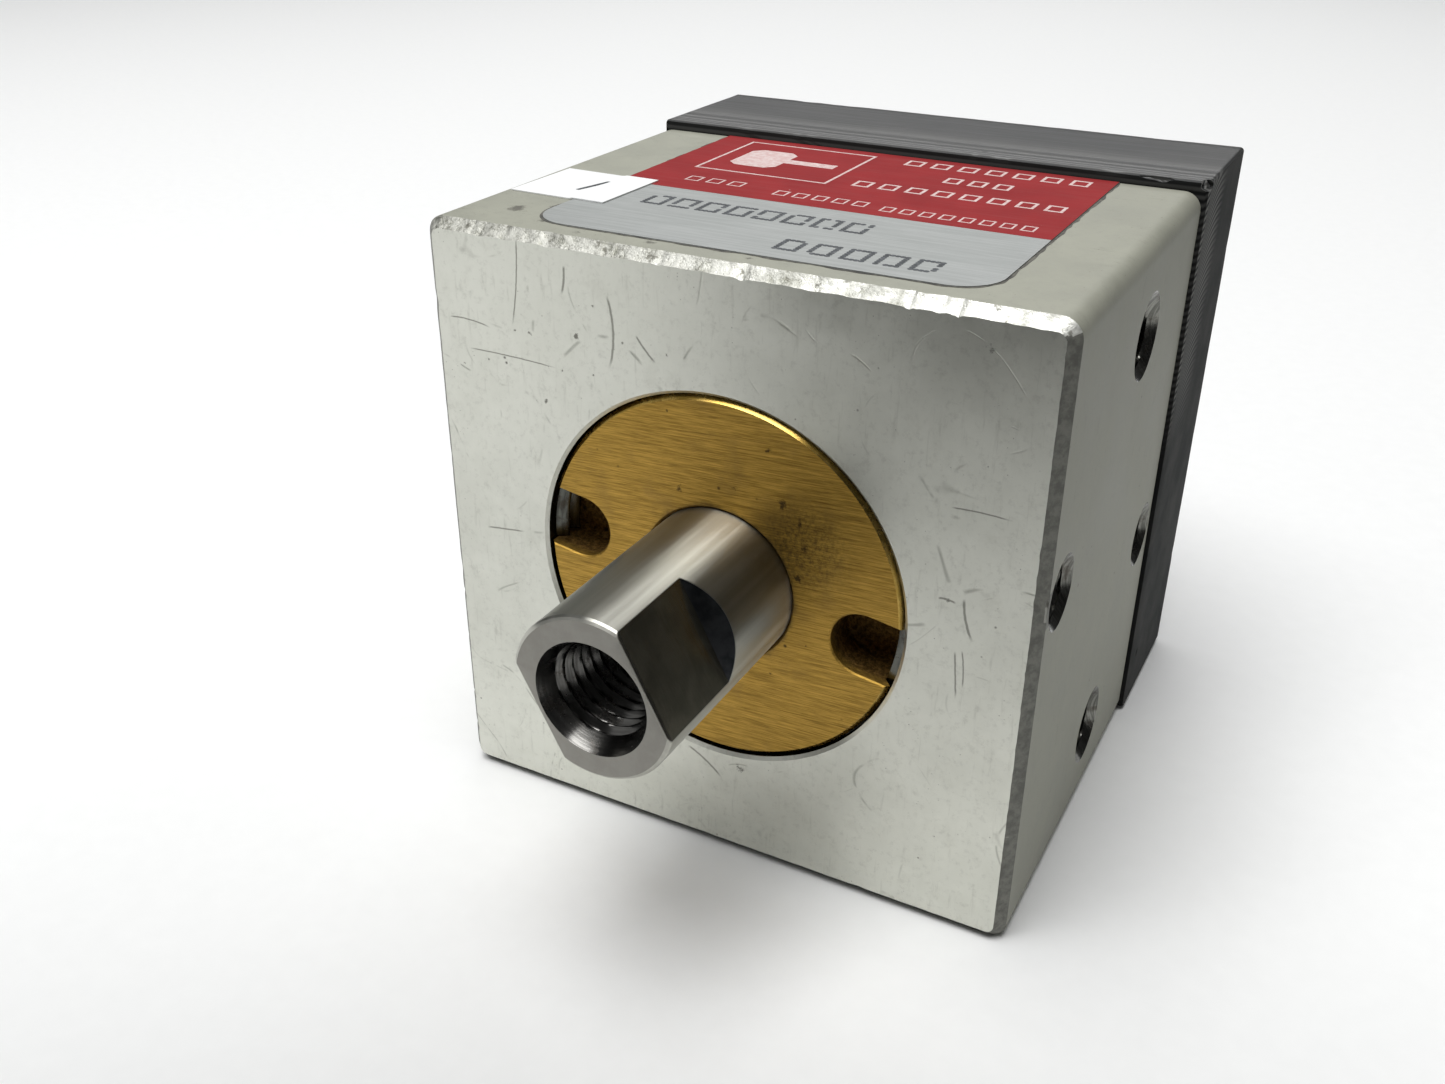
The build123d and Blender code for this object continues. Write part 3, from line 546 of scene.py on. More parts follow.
def stainless_rod():
    """Ground stainless rod: lines round the bar, faint streaks along it and a brown film at the gland."""
    paint = Paint("stainless_rod", Metallic=1.0, Anisotropic=0.9, Anisotropic_Rotation=0.25)
    round_the_bar = paint.node("ShaderNodeTangent", {}, direction_type="RADIAL", axis="Y").outputs[0]
    paint.feed(paint.shader.inputs["Tangent"], round_the_bar)
    streaks = paint.noise(0.7, 2, stretch=(1, 30, 1), shift=0.4)
    film = paint.fade(paint.noise(2.5, 5, 0.65, shift=0.1), 0.35, 0.65, 0.0, 0.4)
    near_gland = paint.fade(paint.axis("Y"), GLAND_LOW.y - 4.0 * MM, GLAND_LOW.y - 0.2 * MM)
    base = paint.tones(streaks, (0.40, 0.395, 0.355), (0.47, 0.465, 0.42), 0.35, 0.7)
    paint.colour(paint.layer(base, near_gland, film, (0.30, 0.25, 0.18)))
    paint.roughness(streaks, 0.32, 0.38)
    paint.bump(paint.noise(0.07, 2, stretch=(24, 1, 24)), 0.0008)
    return paint.material


def turned_face():
    """The rod's faced tip: pale and satin, with a faint grain."""
    paint = Paint("turned_face", Metallic=0.9)
    mottle = paint.noise(1.6, 5, 0.6)
    paint.colour(paint.tones(mottle, (0.33, 0.318, 0.288), (0.39, 0.378, 0.345)))
    paint.roughness(mottle, 0.52, 0.62)
    paint.bump(paint.noise(0.2, 2), 0.003)
    return paint.material


def milled_flat_painted_reflection():
    """The wrench flats: the rod's steel painted darker as a painted dark reflection, with fine marks across
    them.
    """
    mottle = dict(size=2.2, detail=4, shift=0.6)
    passes = dict(size=0.25, detail=3, stretch=(10, 1, 10))
    # Painted reflection: the dark tones stand for the dark surroundings that the flats mirror.
    tones = (0.15, 0.142, 0.115), (0.20, 0.19, 0.155)
    return two_tone("milled_flat_painted_reflection", 0.95, mottle, tones, (0.18, 0.26), 0.002, passes)


def flat_slope_painted_reflection():
    """The sloping ends of the flats: smooth, painted near-black and slightly blue as a painted reflection of
    the dark flats.
    """
    # Painted reflection: these near-black tones stand for the dark flat that the slopes mirror.
    tones = (0.026, 0.028, 0.031), (0.046, 0.048, 0.052)
    return two_tone("flat_slope_painted_reflection", 0.9, dict(size=1.1, detail=4, rough=0.6), tones, (0.28, 0.38), 0.01)


def tapped_wall(name, light, dark):
    """A tapped hole's wall: fine turning lines, and dark oil in patches, over dark tones that are painted
    shade inside the hole.
    """
    paint = Paint(name, Metallic=1.0)
    lines = paint.noise(0.14, 2, stretch=(14, 1, 14))
    oil = paint.fade(paint.noise(1.4, 5, 0.65), 0.5, 0.7)
    paint.colour(paint.layer(paint.tones(lines, dark, light), oil, 0.6, (0.06, 0.05, 0.04)))
    paint.roughness(oil, 0.22, 0.36, reach=0.5)
    paint.bump(lines, 0.003)
    return paint.material


def cutter_arcs(paint):
    """The arcs that a milling cutter left on the block's right side, near its front and top, from 0 to 1."""
    radius = 8.0 * MM
    across = paint.minus(paint.axis("Y"), BLOCK_LOW.y + 6.5 * MM)
    drop = paint.sum("SQRT", paint.minus(radius**2, paint.both(across, across)))
    height = paint.minus(paint.axis("Z"), drop)
    wave = paint.sum("SINE", paint.both(height, 2 * pi / (0.65 * MM)))
    near_front = paint.fade(paint.axis("Y"), BLOCK_LOW.y + 4.0 * MM, BLOCK_LOW.y + 8.0 * MM, 1.0, 0.0)
    near_top = paint.fade(paint.axis("Z"), 26 * MM, 36 * MM)
    return paint.both(paint.both(near_front, near_top), paint.fade(wave, -1.0, 1.0))


def black_acetal(name, shine, rough, painted_light_scale):
    """The rear block: dark plastic with a satin sheen, long cutter lines and cutter arcs. painted_light_scale
    multiplies its colours, painting a lighter copy for lit faces and a darker copy for shaded ones.
    """

    def grey(red, green, blue):
        return (red * painted_light_scale, green * painted_light_scale, blue * painted_light_scale)

    paint = Paint(name, Metallic=0.0, IOR=1.48, Specular_IOR_Level=shine)
    passes = paint.noise(0.22, 4, 0.65, stretch=(60, 1, 1))
    patches = paint.noise(6, 5, 0.6, stretch=(2.5, 1, 1))
    arcs = cutter_arcs(paint)
    base = paint.tones(patches, grey(0.020, 0.021, 0.021), grey(0.034, 0.034, 0.033), 0.3, 0.7)
    base = paint.mix(paint.fade(passes, 0.55, 0.8, 0, 0.5), base, grey(0.055, 0.055, 0.052))
    base = paint.layer(base, arcs, 0.8, grey(0.11, 0.11, 0.105))
    paint.colour(paint.mix(paint.specks(7, 0.10, shift=0.5), base, (0.008, 0.008, 0.008)))
    paint.roughness(passes, *rough)
    relief = paint.bump(passes, 0.010)
    paint.bump(arcs, 0.03, relief)
    return paint.material


def label_foil():
    """Brushed silver foil with faint creases."""
    paint = Paint("label_foil", Metallic=0.35)
    strands = paint.noise(0.2, 3, stretch=(30, 1, 1))
    creases = paint.noise(5, 4)
    base = paint.tones(strands, (0.31, 0.325, 0.315), (0.37, 0.385, 0.375))
    paint.colour(paint.layer(base, paint.specks(2.2, 0.08), 0.8, (0.12, 0.11, 0.09)))
    paint.roughness(creases, 0.36, 0.5)
    paint.bump(creases, 0.06)
    return paint.material


def red_ink():
    """Red print on the foil, with a little of the foil's grain and wear showing through."""
    paint = Paint("red_ink", Metallic=0.0, Specular_IOR_Level=0.01)
    strands = paint.noise(0.2, 3, stretch=(30, 1, 1))
    patches = paint.noise(4, 5, 0.6)
    base = paint.tones(patches, (0.255, 0.026, 0.028), (0.295, 0.032, 0.034), 0.3, 0.7)
    base = paint.mix(paint.fade(strands, 0.4, 0.8, 0, 0.05), base, (0.50, 0.30, 0.28))
    paint.colour(paint.layer(base, paint.specks(1.7, 0.07, shift=0.4), 0.6, (0.62, 0.45, 0.43)))
    paint.roughness(patches, 0.36, 0.46)
    paint.bump(strands, 0.003)
    return paint.material


def pale_print():
    """Areas left bare of red ink: pale, slightly pink foil."""
    tones = (0.62, 0.40, 0.38), (0.72, 0.60, 0.58)
    return two_tone("pale_print", 0.35, dict(size=0.5, detail=5, rough=0.7), tones, (0.4, 0.5))


def dark_print():
    """Dark stamped dots, thin where the ribbon ran dry."""
    tones = (0.025, 0.03, 0.035), (0.13, 0.14, 0.15), 0.4, 0.7
    return two_tone("dark_print", 0.0, dict(size=0.35, detail=4, rough=0.7), tones, (0.5, 0.65))


def sticker_paper():
    """White matt paper with a soft fibre."""
    paint = Paint("sticker_paper", Metallic=0.0)
    fibre = paint.noise(0.25, 5, 0.7)
    stain = paint.fade(paint.noise(3, 4, shift=0.7), 0.6, 0.8, 0, 0.25)
    base = paint.tones(fibre, (0.79, 0.80, 0.80), (0.85, 0.855, 0.85))
    paint.colour(paint.mix(stain, base, (0.66, 0.64, 0.58)))
    paint.roughness(fibre, 0.75, 0.9)
    paint.bump(fibre, 0.008)
    return paint.material


def adhesive_dirt():
    """Grime caught in the adhesive round the label."""
    tones = (0.035, 0.033, 0.028), (0.15, 0.145, 0.12), 0.4, 0.65
    return two_tone("adhesive_dirt", 0.0, dict(size=0.8, detail=5, rough=0.7), tones, (0.55, 0.8), 0.02)


def black_steel():
    """Black-oxide screw steel with rubbed edges."""
    rub = dict(size=0.8, detail=5, rough=0.7)
    tones = (0.035, 0.034, 0.035), (0.10, 0.098, 0.092), 0.5, 0.75
    return two_tone("black_steel", 0.85, rub, tones, (0.34, 0.5), 0.004, dict(size=0.15, detail=3))


def spring_steel():
    """Phosphated spring steel."""
    mottle = dict(size=0.9, detail=5, rough=0.65)
    tones = (0.12, 0.12, 0.115), (0.20, 0.195, 0.185)
    return two_tone("spring_steel", 0.9, mottle, tones, (0.32, 0.48), 0.004, dict(size=0.12, detail=3))


def machined_aluminium():
    """Lathe-turned aluminium: fine rings about the rod's axis."""
    lines = dict(size=0.12, detail=3, stretch=(20, 1, 20))
    tones = (0.60, 0.60, 0.59), (0.72, 0.72, 0.71)
    return two_tone("machined_aluminium", 1.0, dict(size=2.5, detail=4), tones, (0.24, 0.38), 0.006, lines)


def seal_rubber():
    """Moulded nitrile rubber with a light film of grease."""
    paint = Paint("seal_rubber", Metallic=0.0)
    grain = paint.noise(0.2, 4)
    paint.colour(paint.tones(grain, (0.018, 0.018, 0.019), (0.032, 0.032, 0.033)))
    paint.roughness(paint.noise(1.5, 4, shift=0.3), 0.30, 0.55, reach=0.15)
    paint.bump(grain, 0.006)
    return paint.material


def bumper_urethane():
    """Translucent-looking amber urethane."""
    tones = (0.42, 0.22, 0.05), (0.52, 0.30, 0.09)
    grain = dict(size=0.2, detail=3)
    return two_tone("bumper_urethane", 0.0, dict(size=1.4, detail=4), tones, (0.35, 0.5), 0.005, grain)


def wear_ring_plastic():
    """Filled white bearing plastic."""
    paint = Paint("wear_ring_plastic", Metallic=0.0)
    grain = paint.noise(0.15, 3)
    paint.colour(paint.mix(paint.specks(0.7, 0.2), (0.66, 0.64, 0.58), (0.42, 0.38, 0.30)))
    paint.roughness(grain, 0.4, 0.55)
    paint.bump(grain, 0.004)
    return paint.material


# Cylinder body
BODY_EDGE_RADIUS = 1.5 * MM
FRONT_CHAMFER = 0.80 * MM
REAR_CHAMFER = 0.3 * MM
POINT_SPACING = 0.22 * MM
CHAMFER_ROWS = 5
EDGE_NICKS = 46
EDGE_WAVER = 0.07 * MM
OVERRUN = 1.0 * MM
JUST = 0.01 * MM


def rounded_outline(low, high, corner, spacing):
    """Points (x, z), outward normals and running lengths round a rectangle with rounded corners."""
    points = []
    normals = []
    left, right = low.x + corner, high.x - corner
    bottom, top = low.z + corner, high.z - corner
    centres = ((right, top, 0), (left, top, 90), (left, bottom, 180), (right, bottom, 270))
    corner_steps = max(6, round(corner * pi / 2 / spacing))
    for number, (x, z, start) in enumerate(centres):
        for step in range(corner_steps + 1):
            angle = radians(start + 90 * step / corner_steps)
            normals.append((cos(angle), sin(angle)))
            points.append((x + corner * cos(angle), z + corner * sin(angle)))
        next_x, next_z, next_start = centres[(number + 1) % 4]
        end_normal = Vector((cos(radians(next_start)), sin(radians(next_start))))
        first = Vector(points[-1])
        last = Vector((next_x, next_z)) + corner * end_normal
        side_steps = round((last - first).length / spacing)
        for step in range(1, side_steps):
            points.append(tuple(first.lerp(last, step / side_steps)))
            normals.append(tuple(end_normal))
    points = np.array(points)
    steps = np.linalg.norm(points - np.roll(points, 1, axis=0), axis=1)
    return points, np.array(normals), np.cumsum(steps)


def outline_ring(points, normals, y, inset):
    """The outline as a ring of points at y, drawn in along its normals."""
    drawn_in = points - normals * np.broadcast_to(inset, (len(points),))[:, None]
    return np.column_stack((drawn_in[:, 0], np.broadcast_to(y, (len(points),)), drawn_in[:, 1]))


def wander(points, y, size):
    """Smooth noise from -1 to 1 at each point of an outline."""
    scale = 1 / size
    return np.array([noise.noise(Vector((x * scale, y * scale, z * scale))) for x, z in points])


def nick_marks(lengths, count, deepest, widest, chance):
    """Small dents at random places along an outline, as a depth for each point."""
    total = lengths[-1]
    dents = np.zeros(len(lengths))
    for _ in range(count):
        spot = chance.uniform(0, total)
        width = chance.uniform(0.25, 1.0) * widest
        depth = chance.uniform(0.2, 1.0) * deepest
        away = np.abs(lengths - spot)
        away = np.minimum(away, total - away)
        dents = np.maximum(dents, depth * np.exp(-((away / width) ** 2)))
    return dents


def body_shell():
    """The square bar with its worn front chamfer and fine rear chamfer."""
    points, normals, lengths = rounded_outline(BODY_LOW, BODY_HIGH, BODY_EDGE_RADIUS, POINT_SPACING)
    worn = 0.35 + 0.65 * np.clip(normals[:, 1] * 1.2, 0, 1)
    dents = nick_marks(lengths, EDGE_NICKS, 0.28 * MM, 0.5 * MM, random.Random(4))
    waver = wander(points, 0.0, 1.6 * MM) + 0.6 * wander(points, 3 * MM, 0.5 * MM)
    inward = FRONT_CHAMFER + worn * (EDGE_WAVER * waver + 0.7 * dents)
    waver = wander(points, 7 * MM, 1.4 * MM) + 0.6 * wander(points, 9 * MM, 0.45 * MM)
    back = FRONT_CHAMFER + worn * (EDGE_WAVER * waver + 0.9 * dents)
    rings = []
    for row in range(CHAMFER_ROWS + 1):
        share = row / CHAMFER_ROWS
        middle = 4 * share * (1 - share)
        pitting = worn * middle * 0.04 * MM * (1 + wander(points, (20 + row) * MM, 0.55 * MM))
        rings.append(outline_ring(points, normals, FRONT + back * share, inward * (1 - share) + pitting))
    for y in (FRONT + 3 * MM, 0.0, REAR - REAR_CHAMFER):
        rings.append(outline_ring(points, normals, y, 0))
    rings.append(outline_ring(points, normals, REAR, REAR_CHAMFER))
    return skin("cylinder_body_shell", rings, chamfer_rows=CHAMFER_ROWS)


GLAND_SEAT_RADIUS = 15.5 * MM
GLAND_SEAT_DEPTH = 5.5 * MM
GLAND_MOUTH_CHAMFER = 0.27 * MM
GLAND_MOUTH_LAND = 1.1 * MM
GLAND_THREAD_PITCH = 1.6 * MM
GLAND_THREAD_CREST = 14.75 * MM
BORE_RADIUS = 14.2875 * MM
HEAD_SEAT_RADIUS = 14.8 * MM
RING_GROOVE_RADIUS = 15.7 * MM
RING_GROOVE_PLAY = 0.075 * MM
BORE_STEPS = 224


def bore_cutter():
    """What is bored out of the body: the gland's threaded seat, the bore, the head's seat and ring groove."""
    angles = circle_angles(BORE_STEPS)
    profile = [
        (FRONT - OVERRUN, GLAND_SEAT_RADIUS + GLAND_MOUTH_CHAMFER + OVERRUN),
        (FRONT + GLAND_MOUTH_CHAMFER, GLAND_SEAT_RADIUS),
        (FRONT + GLAND_MOUTH_LAND, GLAND_SEAT_RADIUS),
    ]
    thread_start = FRONT + GLAND_MOUTH_LAND + 0.15 * MM
    for y in np.arange(thread_start, FRONT + GLAND_SEAT_DEPTH, GLAND_THREAD_PITCH / 12):
        profile.append((y, thread(y, angles, GLAND_THREAD_PITCH, GLAND_SEAT_RADIUS, GLAND_THREAD_CREST)))
    groove_low = RING_LOW.y - RING_GROOVE_PLAY
    groove_high = RING_HIGH.y + RING_GROOVE_PLAY
    profile += [
        (FRONT + GLAND_SEAT_DEPTH, BORE_RADIUS),
        (HEAD_FRONT, BORE_RADIUS),
        (HEAD_FRONT, HEAD_SEAT_RADIUS),
        (groove_low, HEAD_SEAT_RADIUS),
        (groove_low, RING_GROOVE_RADIUS),
        (groove_high, RING_GROOVE_RADIUS),
        (groove_high, HEAD_SEAT_RADIUS),
        (REAR + OVERRUN, HEAD_SEAT_RADIUS),
    ]
    return on_rod_axis(turned("bore_cutter", profile, BORE_STEPS))


def tapped_hole(name, tap_radius, crown_radius, sink_radius, depth, pitch, steps):
    """A countersunk, tapped, blind hole along +Y from the origin, as a solid to cut with."""
    angles = circle_angles(steps)
    profile = []
    for y in np.arange(-0.4 * MM, depth, pitch / 10):
        wall = thread(y, angles, pitch, crown_radius, tap_radius)
        profile.append((y, np.maximum(wall, sink_radius - y)))
    profile += [(depth, tap_radius), (depth + 0.6 * tap_radius, 0.02 * MM)]
    return turned(name, profile, steps)


# Places on the right face: depth behind the front, and height above the rod's axis
MOUNT_HOLE_SPOTS = ((21.3 * MM, 17.8 * MM), (21.3 * MM, -17.8 * MM))
PORT_SPOTS = ((4.1 * MM, 4.35 * MM), (32.2 * MM, -4.1 * MM))
MOUNT_HOLE_SIZES = (2.55 * MM, 3.1 * MM, 3.45 * MM, 12.7 * MM, 1.27 * MM, 96)
PORT_SIZES = (2.02 * MM, 2.4 * MM, 2.9 * MM, 8.0 * MM, 0.794 * MM, 72)
PASSAGE_RADIUS = 1.0 * MM


def side_holes():
    """Cutters for the two mounting holes and the two ports of the right face."""
    cutters = []
    kinds = (("mount_hole", MOUNT_HOLE_SPOTS, MOUNT_HOLE_SIZES), ("port", PORT_SPOTS, PORT_SIZES))
    for kind, spots, sizes in kinds:
        for number, (depth, height) in enumerate(spots):
            hole = tapped_hole(f"{kind}_{number}", *sizes)
            mouth = Matrix.Translation((SIDE, FRONT + depth, AXIS_HEIGHT + height))
            cutters.append(place(hole, mouth @ Matrix.Rotation(pi / 2, 4, "Z")))
    return cutters


def air_passages():
    """The slanted drillings that lead from the ports into the piston's chamber."""
    cutters = []
    chamber_ends = (GLAND_HIGH.y + PASSAGE_RADIUS, HEAD_FRONT - PASSAGE_RADIUS)
    for number, ((depth, height), chamber_y) in enumerate(zip(PORT_SPOTS, chamber_ends)):
        mouth = Vector((SIDE, FRONT + depth, AXIS_HEIGHT + height))
        way = Vector((sqrt(BORE_RADIUS**2 - height**2), chamber_y, AXIS_HEIGHT + height)) - mouth
        profile = [(0.0, PASSAGE_RADIUS), (way.length + OVERRUN, PASSAGE_RADIUS)]
        turn = Vector((0, 1, 0)).rotation_difference(way).to_matrix().to_4x4()
        drilling = turned(f"passage_{number}", profile, 36)
        cutters.append(place(drilling, Matrix.Translation(mouth) @ turn))
    return cutters


SCREW_SPACING = 36.8 * MM
SCREW_CORNERS = [(x * SCREW_SPACING / 2, z * SCREW_SPACING / 2) for x in (-1, 1) for z in (-1, 1)]
SCREW_TAP_RADIUS = 2.02 * MM
SCREW_TAP_DEPTH = 7.5 * MM


def at_screws(name, profile, steps):
    """A turned cutter at each of the four screws."""
    cutters = []
    for number, (x, z) in enumerate(SCREW_CORNERS):
        hole = turned(f"{name}_{number}", profile, steps)
        cutters.append(place(hole, Matrix.Translation((x, 0, AXIS_HEIGHT + z))))
    return cutters


def worn_sides(spot, normal):
    """The front chamfer's left, right and lower parts."""
    on_chamfer = FRONT + JUST < spot.y < FRONT + 1.6 * FRONT_CHAMFER
    on_edge = max(abs(spot.x), abs(spot.z - AXIS_HEIGHT)) > SIDE - FRONT_CHAMFER - 0.5 * MM
    return on_chamfer and on_edge and spot.z < TOP - 1.0 * MM


def milled_front(spot, normal):
    """The front face, and the narrow chamfer round the gland's seat."""
    at_mouth = from_axis(spot) < GLAND_SEAT_RADIUS + GLAND_MOUTH_CHAMFER
    if at_mouth and spot.y < FRONT + GLAND_MOUTH_CHAMFER:
        return True
    return spot.y < FRONT + JUST / 2 and normal.y < -0.99


def inside_bore(spot, normal):
    """The threaded seat, the bore and the head's seat, behind the bright mouth."""
    return from_axis(spot) < RING_GROOVE_RADIUS and FRONT + GLAND_MOUTH_CHAMFER < spot.y < REAR - JUST


def inside_hole(spot, normal):
    """The walls of the mounting holes and ports of the right face."""
    if not SIDE - 14 * MM <= spot.x <= SIDE - JUST:
        return False
    for depth, height in (*MOUNT_HOLE_SPOTS, *PORT_SPOTS):
        across = spot.y - FRONT - depth
        up = spot.z - AXIS_HEIGHT - height
        if across**2 + up**2 < (3.46 * MM) ** 2:
            return True
    return False


def make_body():
    """The cylinder body, which stands for its CAD node."""
    body = body_shell()
    profile = [(REAR + OVERRUN, SCREW_TAP_RADIUS), (REAR - SCREW_TAP_DEPTH, SCREW_TAP_RADIUS)]
    cut(body, [bore_cutter(), *side_holes(), *air_passages(), *at_screws("rear_hole", profile, 40)])
    body.name = "body_detailed"
    for index, chosen in ((2, milled_front), (3, worn_sides), (4, inside_bore), (5, inside_hole)):
        mark_faces(body, index, chosen)
    shade(body)
    # The bore and hole walls are painted dark as shade inside the holes.
    bore_wall_painted_shade = tapped_wall("bore_wall_painted_shade", (0.12, 0.123, 0.11), (0.06, 0.06, 0.054))
    hole_wall_painted_shade = tapped_wall("hole_wall_painted_shade", (0.22, 0.22, 0.20), (0.10, 0.10, 0.09))
    materials = [anodised_sides(), bare_edge(), anodised_front(), dull_edge_painted_shade(), bore_wall_painted_shade, hole_wall_painted_shade]
    finish_piece(body, materials, "cylinder", ["cylinder_body"])


# Rod gland
GLAND_RIM_CHAMFER = 0.36 * MM
GLAND_NOSE_RADIUS = 14.2375 * MM
GLAND_NOSE_CHAMFER = 0.3 * MM
ROD_BORE_RADIUS = ROD_RADIUS + 0.05 * MM
ROD_BORE_CHAMFER = 0.2 * MM
O_RING_GROOVE = (6.45 * MM, 8.85 * MM)
O_RING_GROOVE_RADIUS = 12.9 * MM
SEAL_GROOVE = (4.6 * MM, 7.6 * MM)
SEAL_GROOVE_RADIUS = 9.4 * MM
NOTCH_WIDTH = 5.2 * MM
NOTCH_INNER_RADIUS = 9.8 * MM
NOTCH_DEPTH = 3.8 * MM
NOTCH_FLOOR_ROUNDING = 0.4 * MM
NOTCH_TILT = -9.0
NOTCH_EDGE_BREAK = 0.12 * MM


def gland_blank():
    """The turned gland: face, rim, outer thread, nose with O-ring groove, and bore with seal groove."""
    angles = circle_angles(BORE_STEPS)
    face = GLAND_LOW.y
    profile = [
        (face, ROD_BORE_RADIUS + ROD_BORE_CHAMFER),
        (face, GLAND_RADIUS - GLAND_RIM_CHAMFER),
        (face + GLAND_RIM_CHAMFER, GLAND_RADIUS),
    ]
    for y in np.arange(face + 1.0 * MM, FRONT + GLAND_SEAT_DEPTH - 0.1 * MM, GLAND_THREAD_PITCH / 12):
        crest = thread(y, angles, GLAND_THREAD_PITCH, GLAND_RADIUS, GLAND_THREAD_CREST - 0.05 * MM)
        profile.append((y, crest))
    ring_groove = [FRONT + depth for depth in O_RING_GROOVE]
    seal_groove = [FRONT + depth for depth in SEAL_GROOVE]
    profile += [
        (FRONT + GLAND_SEAT_DEPTH, GLAND_NOSE_RADIUS),
        (ring_groove[0], GLAND_NOSE_RADIUS),
        (ring_groove[0], O_RING_GROOVE_RADIUS),
        (ring_groove[1], O_RING_GROOVE_RADIUS),
        (ring_groove[1], GLAND_NOSE_RADIUS),
        (GLAND_HIGH.y - GLAND_NOSE_CHAMFER, GLAND_NOSE_RADIUS),
        (GLAND_HIGH.y, GLAND_NOSE_RADIUS - GLAND_NOSE_CHAMFER),
        (GLAND_HIGH.y, ROD_BORE_RADIUS),
        (seal_groove[1], ROD_BORE_RADIUS),
        (seal_groove[1], SEAL_GROOVE_RADIUS),
        (seal_groove[0], SEAL_GROOVE_RADIUS),
        (seal_groove[0], ROD_BORE_RADIUS),
        (face + ROD_BORE_CHAMFER, ROD_BORE_RADIUS),
    ]
    return on_rod_axis(turned("rod_gland_detailed", profile, BORE_STEPS, wrap=True))


def notch_ring(y, extra):
    """A U-shaped outline across the rod's axis, open towards +X, wider by extra all round."""
    half = NOTCH_WIDTH / 2 + extra
    centre = NOTCH_INNER_RADIUS + NOTCH_WIDTH / 2
    arc = [(centre + half * cos(angle), half * sin(angle)) for angle in np.linspace(pi / 2, 3 * pi / 2, 33)]
    reach = GLAND_RADIUS + 2 * MM
    return np.array([(x, y, z) for x, z in [(reach, half), *arc, (reach, -half)]])


def notch_cutters():
    """Two spanner notches with a small break along their edge."""
    face = GLAND_LOW.y
    cutters = []
    for number, angle in enumerate((NOTCH_TILT, NOTCH_TILT + 180)):
        rings = [
            notch_ring(face - OVERRUN, NOTCH_EDGE_BREAK + OVERRUN),
            notch_ring(face + NOTCH_EDGE_BREAK, 0),
            notch_ring(face + NOTCH_DEPTH - NOTCH_FLOOR_ROUNDING, 0),
            notch_ring(face + NOTCH_DEPTH, -NOTCH_FLOOR_ROUNDING),
        ]
        notch = place(skin(f"notch_{number}", rings), Matrix.Rotation(radians(-angle), 4, "Y"))
        cutters.append(on_rod_axis(notch))
    return cutters


def on_rim(spot, normal):
    """The gland's outer chamfer."""
    near_rim = spot.y < GLAND_LOW.y + GLAND_RIM_CHAMFER and normal.y > -0.95
    return near_rim and from_axis(spot) > GLAND_RADIUS - GLAND_RIM_CHAMFER


def make_gland():
    """The bronze gland, which stands for its CAD node."""
    gland = gland_blank()
    cut(gland, notch_cutters())
    mark_faces(gland, 1, on_rim)
    shade(gland)
    finish_piece(gland, [gland_bronze(), gland_rim()], "cylinder", ["rod_gland"])


# Piston rod
FLAT_HALF = 9.525 / 2 * MM
FLAT_END = ROD_TIP + 8.3 * MM
FLAT_RUNOUT = 1.0 * MM
FLAT_ANGLE = radians(28.0)
TIP_CHAMFER = 0.3 * MM
MOUTH_RADIUS = 4.43 * MM
TAP_RADIUS = 3.45 * MM
TAP_CROWN_RADIUS = 3.95 * MM
TAP_PITCH = 1.058 * MM
TAP_DEPTH = 14.0 * MM
SINK_SLOPE = 0.45
EDGE_ROUNDING = 0.06 * MM
SPIGOT_RADIUS = 4.0 * MM
SPIGOT_CHAMFER = 0.3 * MM
SCREW_BORE_DEPTH = 8.6 * MM
POINT_RADIUS = 0.02 * MM
ROD_STEPS = 192


def rod_blank():
    """The turned rod: from the tip's mouth to the spigot's end, and back through the holes inside."""
    angles = circle_angles(ROD_STEPS)
    end = ROD_HIGH.y
    profile = [
        (ROD_TIP, MOUTH_RADIUS),
        (ROD_TIP, ROD_RADIUS - TIP_CHAMFER),
        (ROD_TIP + 0.12 * MM, ROD_RADIUS - 0.12 * MM),
        (ROD_TIP + TIP_CHAMFER, ROD_RADIUS),
        (ROD_TIP + TIP_CHAMFER + 0.1 * MM, ROD_RADIUS),
        (PISTON_FRONT - 0.1 * MM, ROD_RADIUS),
        (PISTON_FRONT, ROD_RADIUS),
        (PISTON_FRONT, SPIGOT_RADIUS),
        (end - SPIGOT_CHAMFER, SPIGOT_RADIUS),
        (end, SPIGOT_RADIUS - SPIGOT_CHAMFER),
        (end, SCREW_TAP_RADIUS),
        (end - SCREW_BORE_DEPTH, SCREW_TAP_RADIUS),
        (end - SCREW_BORE_DEPTH - 1.2 * MM, POINT_RADIUS),
        (ROD_TIP + TAP_DEPTH + 0.6 * TAP_RADIUS, POINT_RADIUS),
        (ROD_TIP + TAP_DEPTH, TAP_RADIUS),
    ]
    for y in np.arange(TAP_DEPTH, 0.0, -TAP_PITCH / 12):
        wall = thread(y, angles, TAP_PITCH, TAP_CROWN_RADIUS, TAP_RADIUS)
        profile.append((ROD_TIP + y, np.maximum(wall, MOUTH_RADIUS - y * SINK_SLOPE)))
    return on_rod_axis(turned("piston_rod_detailed", profile, ROD_STEPS, wrap=True))


def flat_cutters():
    """What is milled off the rod for its two wrench flats, with their sloping ends."""
    outer = ROD_RADIUS + OVERRUN
    run = FLAT_RUNOUT * (outer - FLAT_HALF) / (ROD_RADIUS - FLAT_HALF)
    before = ROD_TIP - OVERRUN
    profile = [(FLAT_HALF, before), (FLAT_HALF, FLAT_END), (outer, FLAT_END + run), (outer, before)]
    cutters = []
    for number, angle in enumerate((FLAT_ANGLE, FLAT_ANGLE + pi)):
        sides = [np.array([(out, y, side) for out, y in profile]) for side in (-outer, outer)]
        wedge = place(skin(f"flat_{number}", sides), Matrix.Rotation(-angle, 4, "Y"))
        cutters.append(on_rod_axis(wedge))
    return cutters


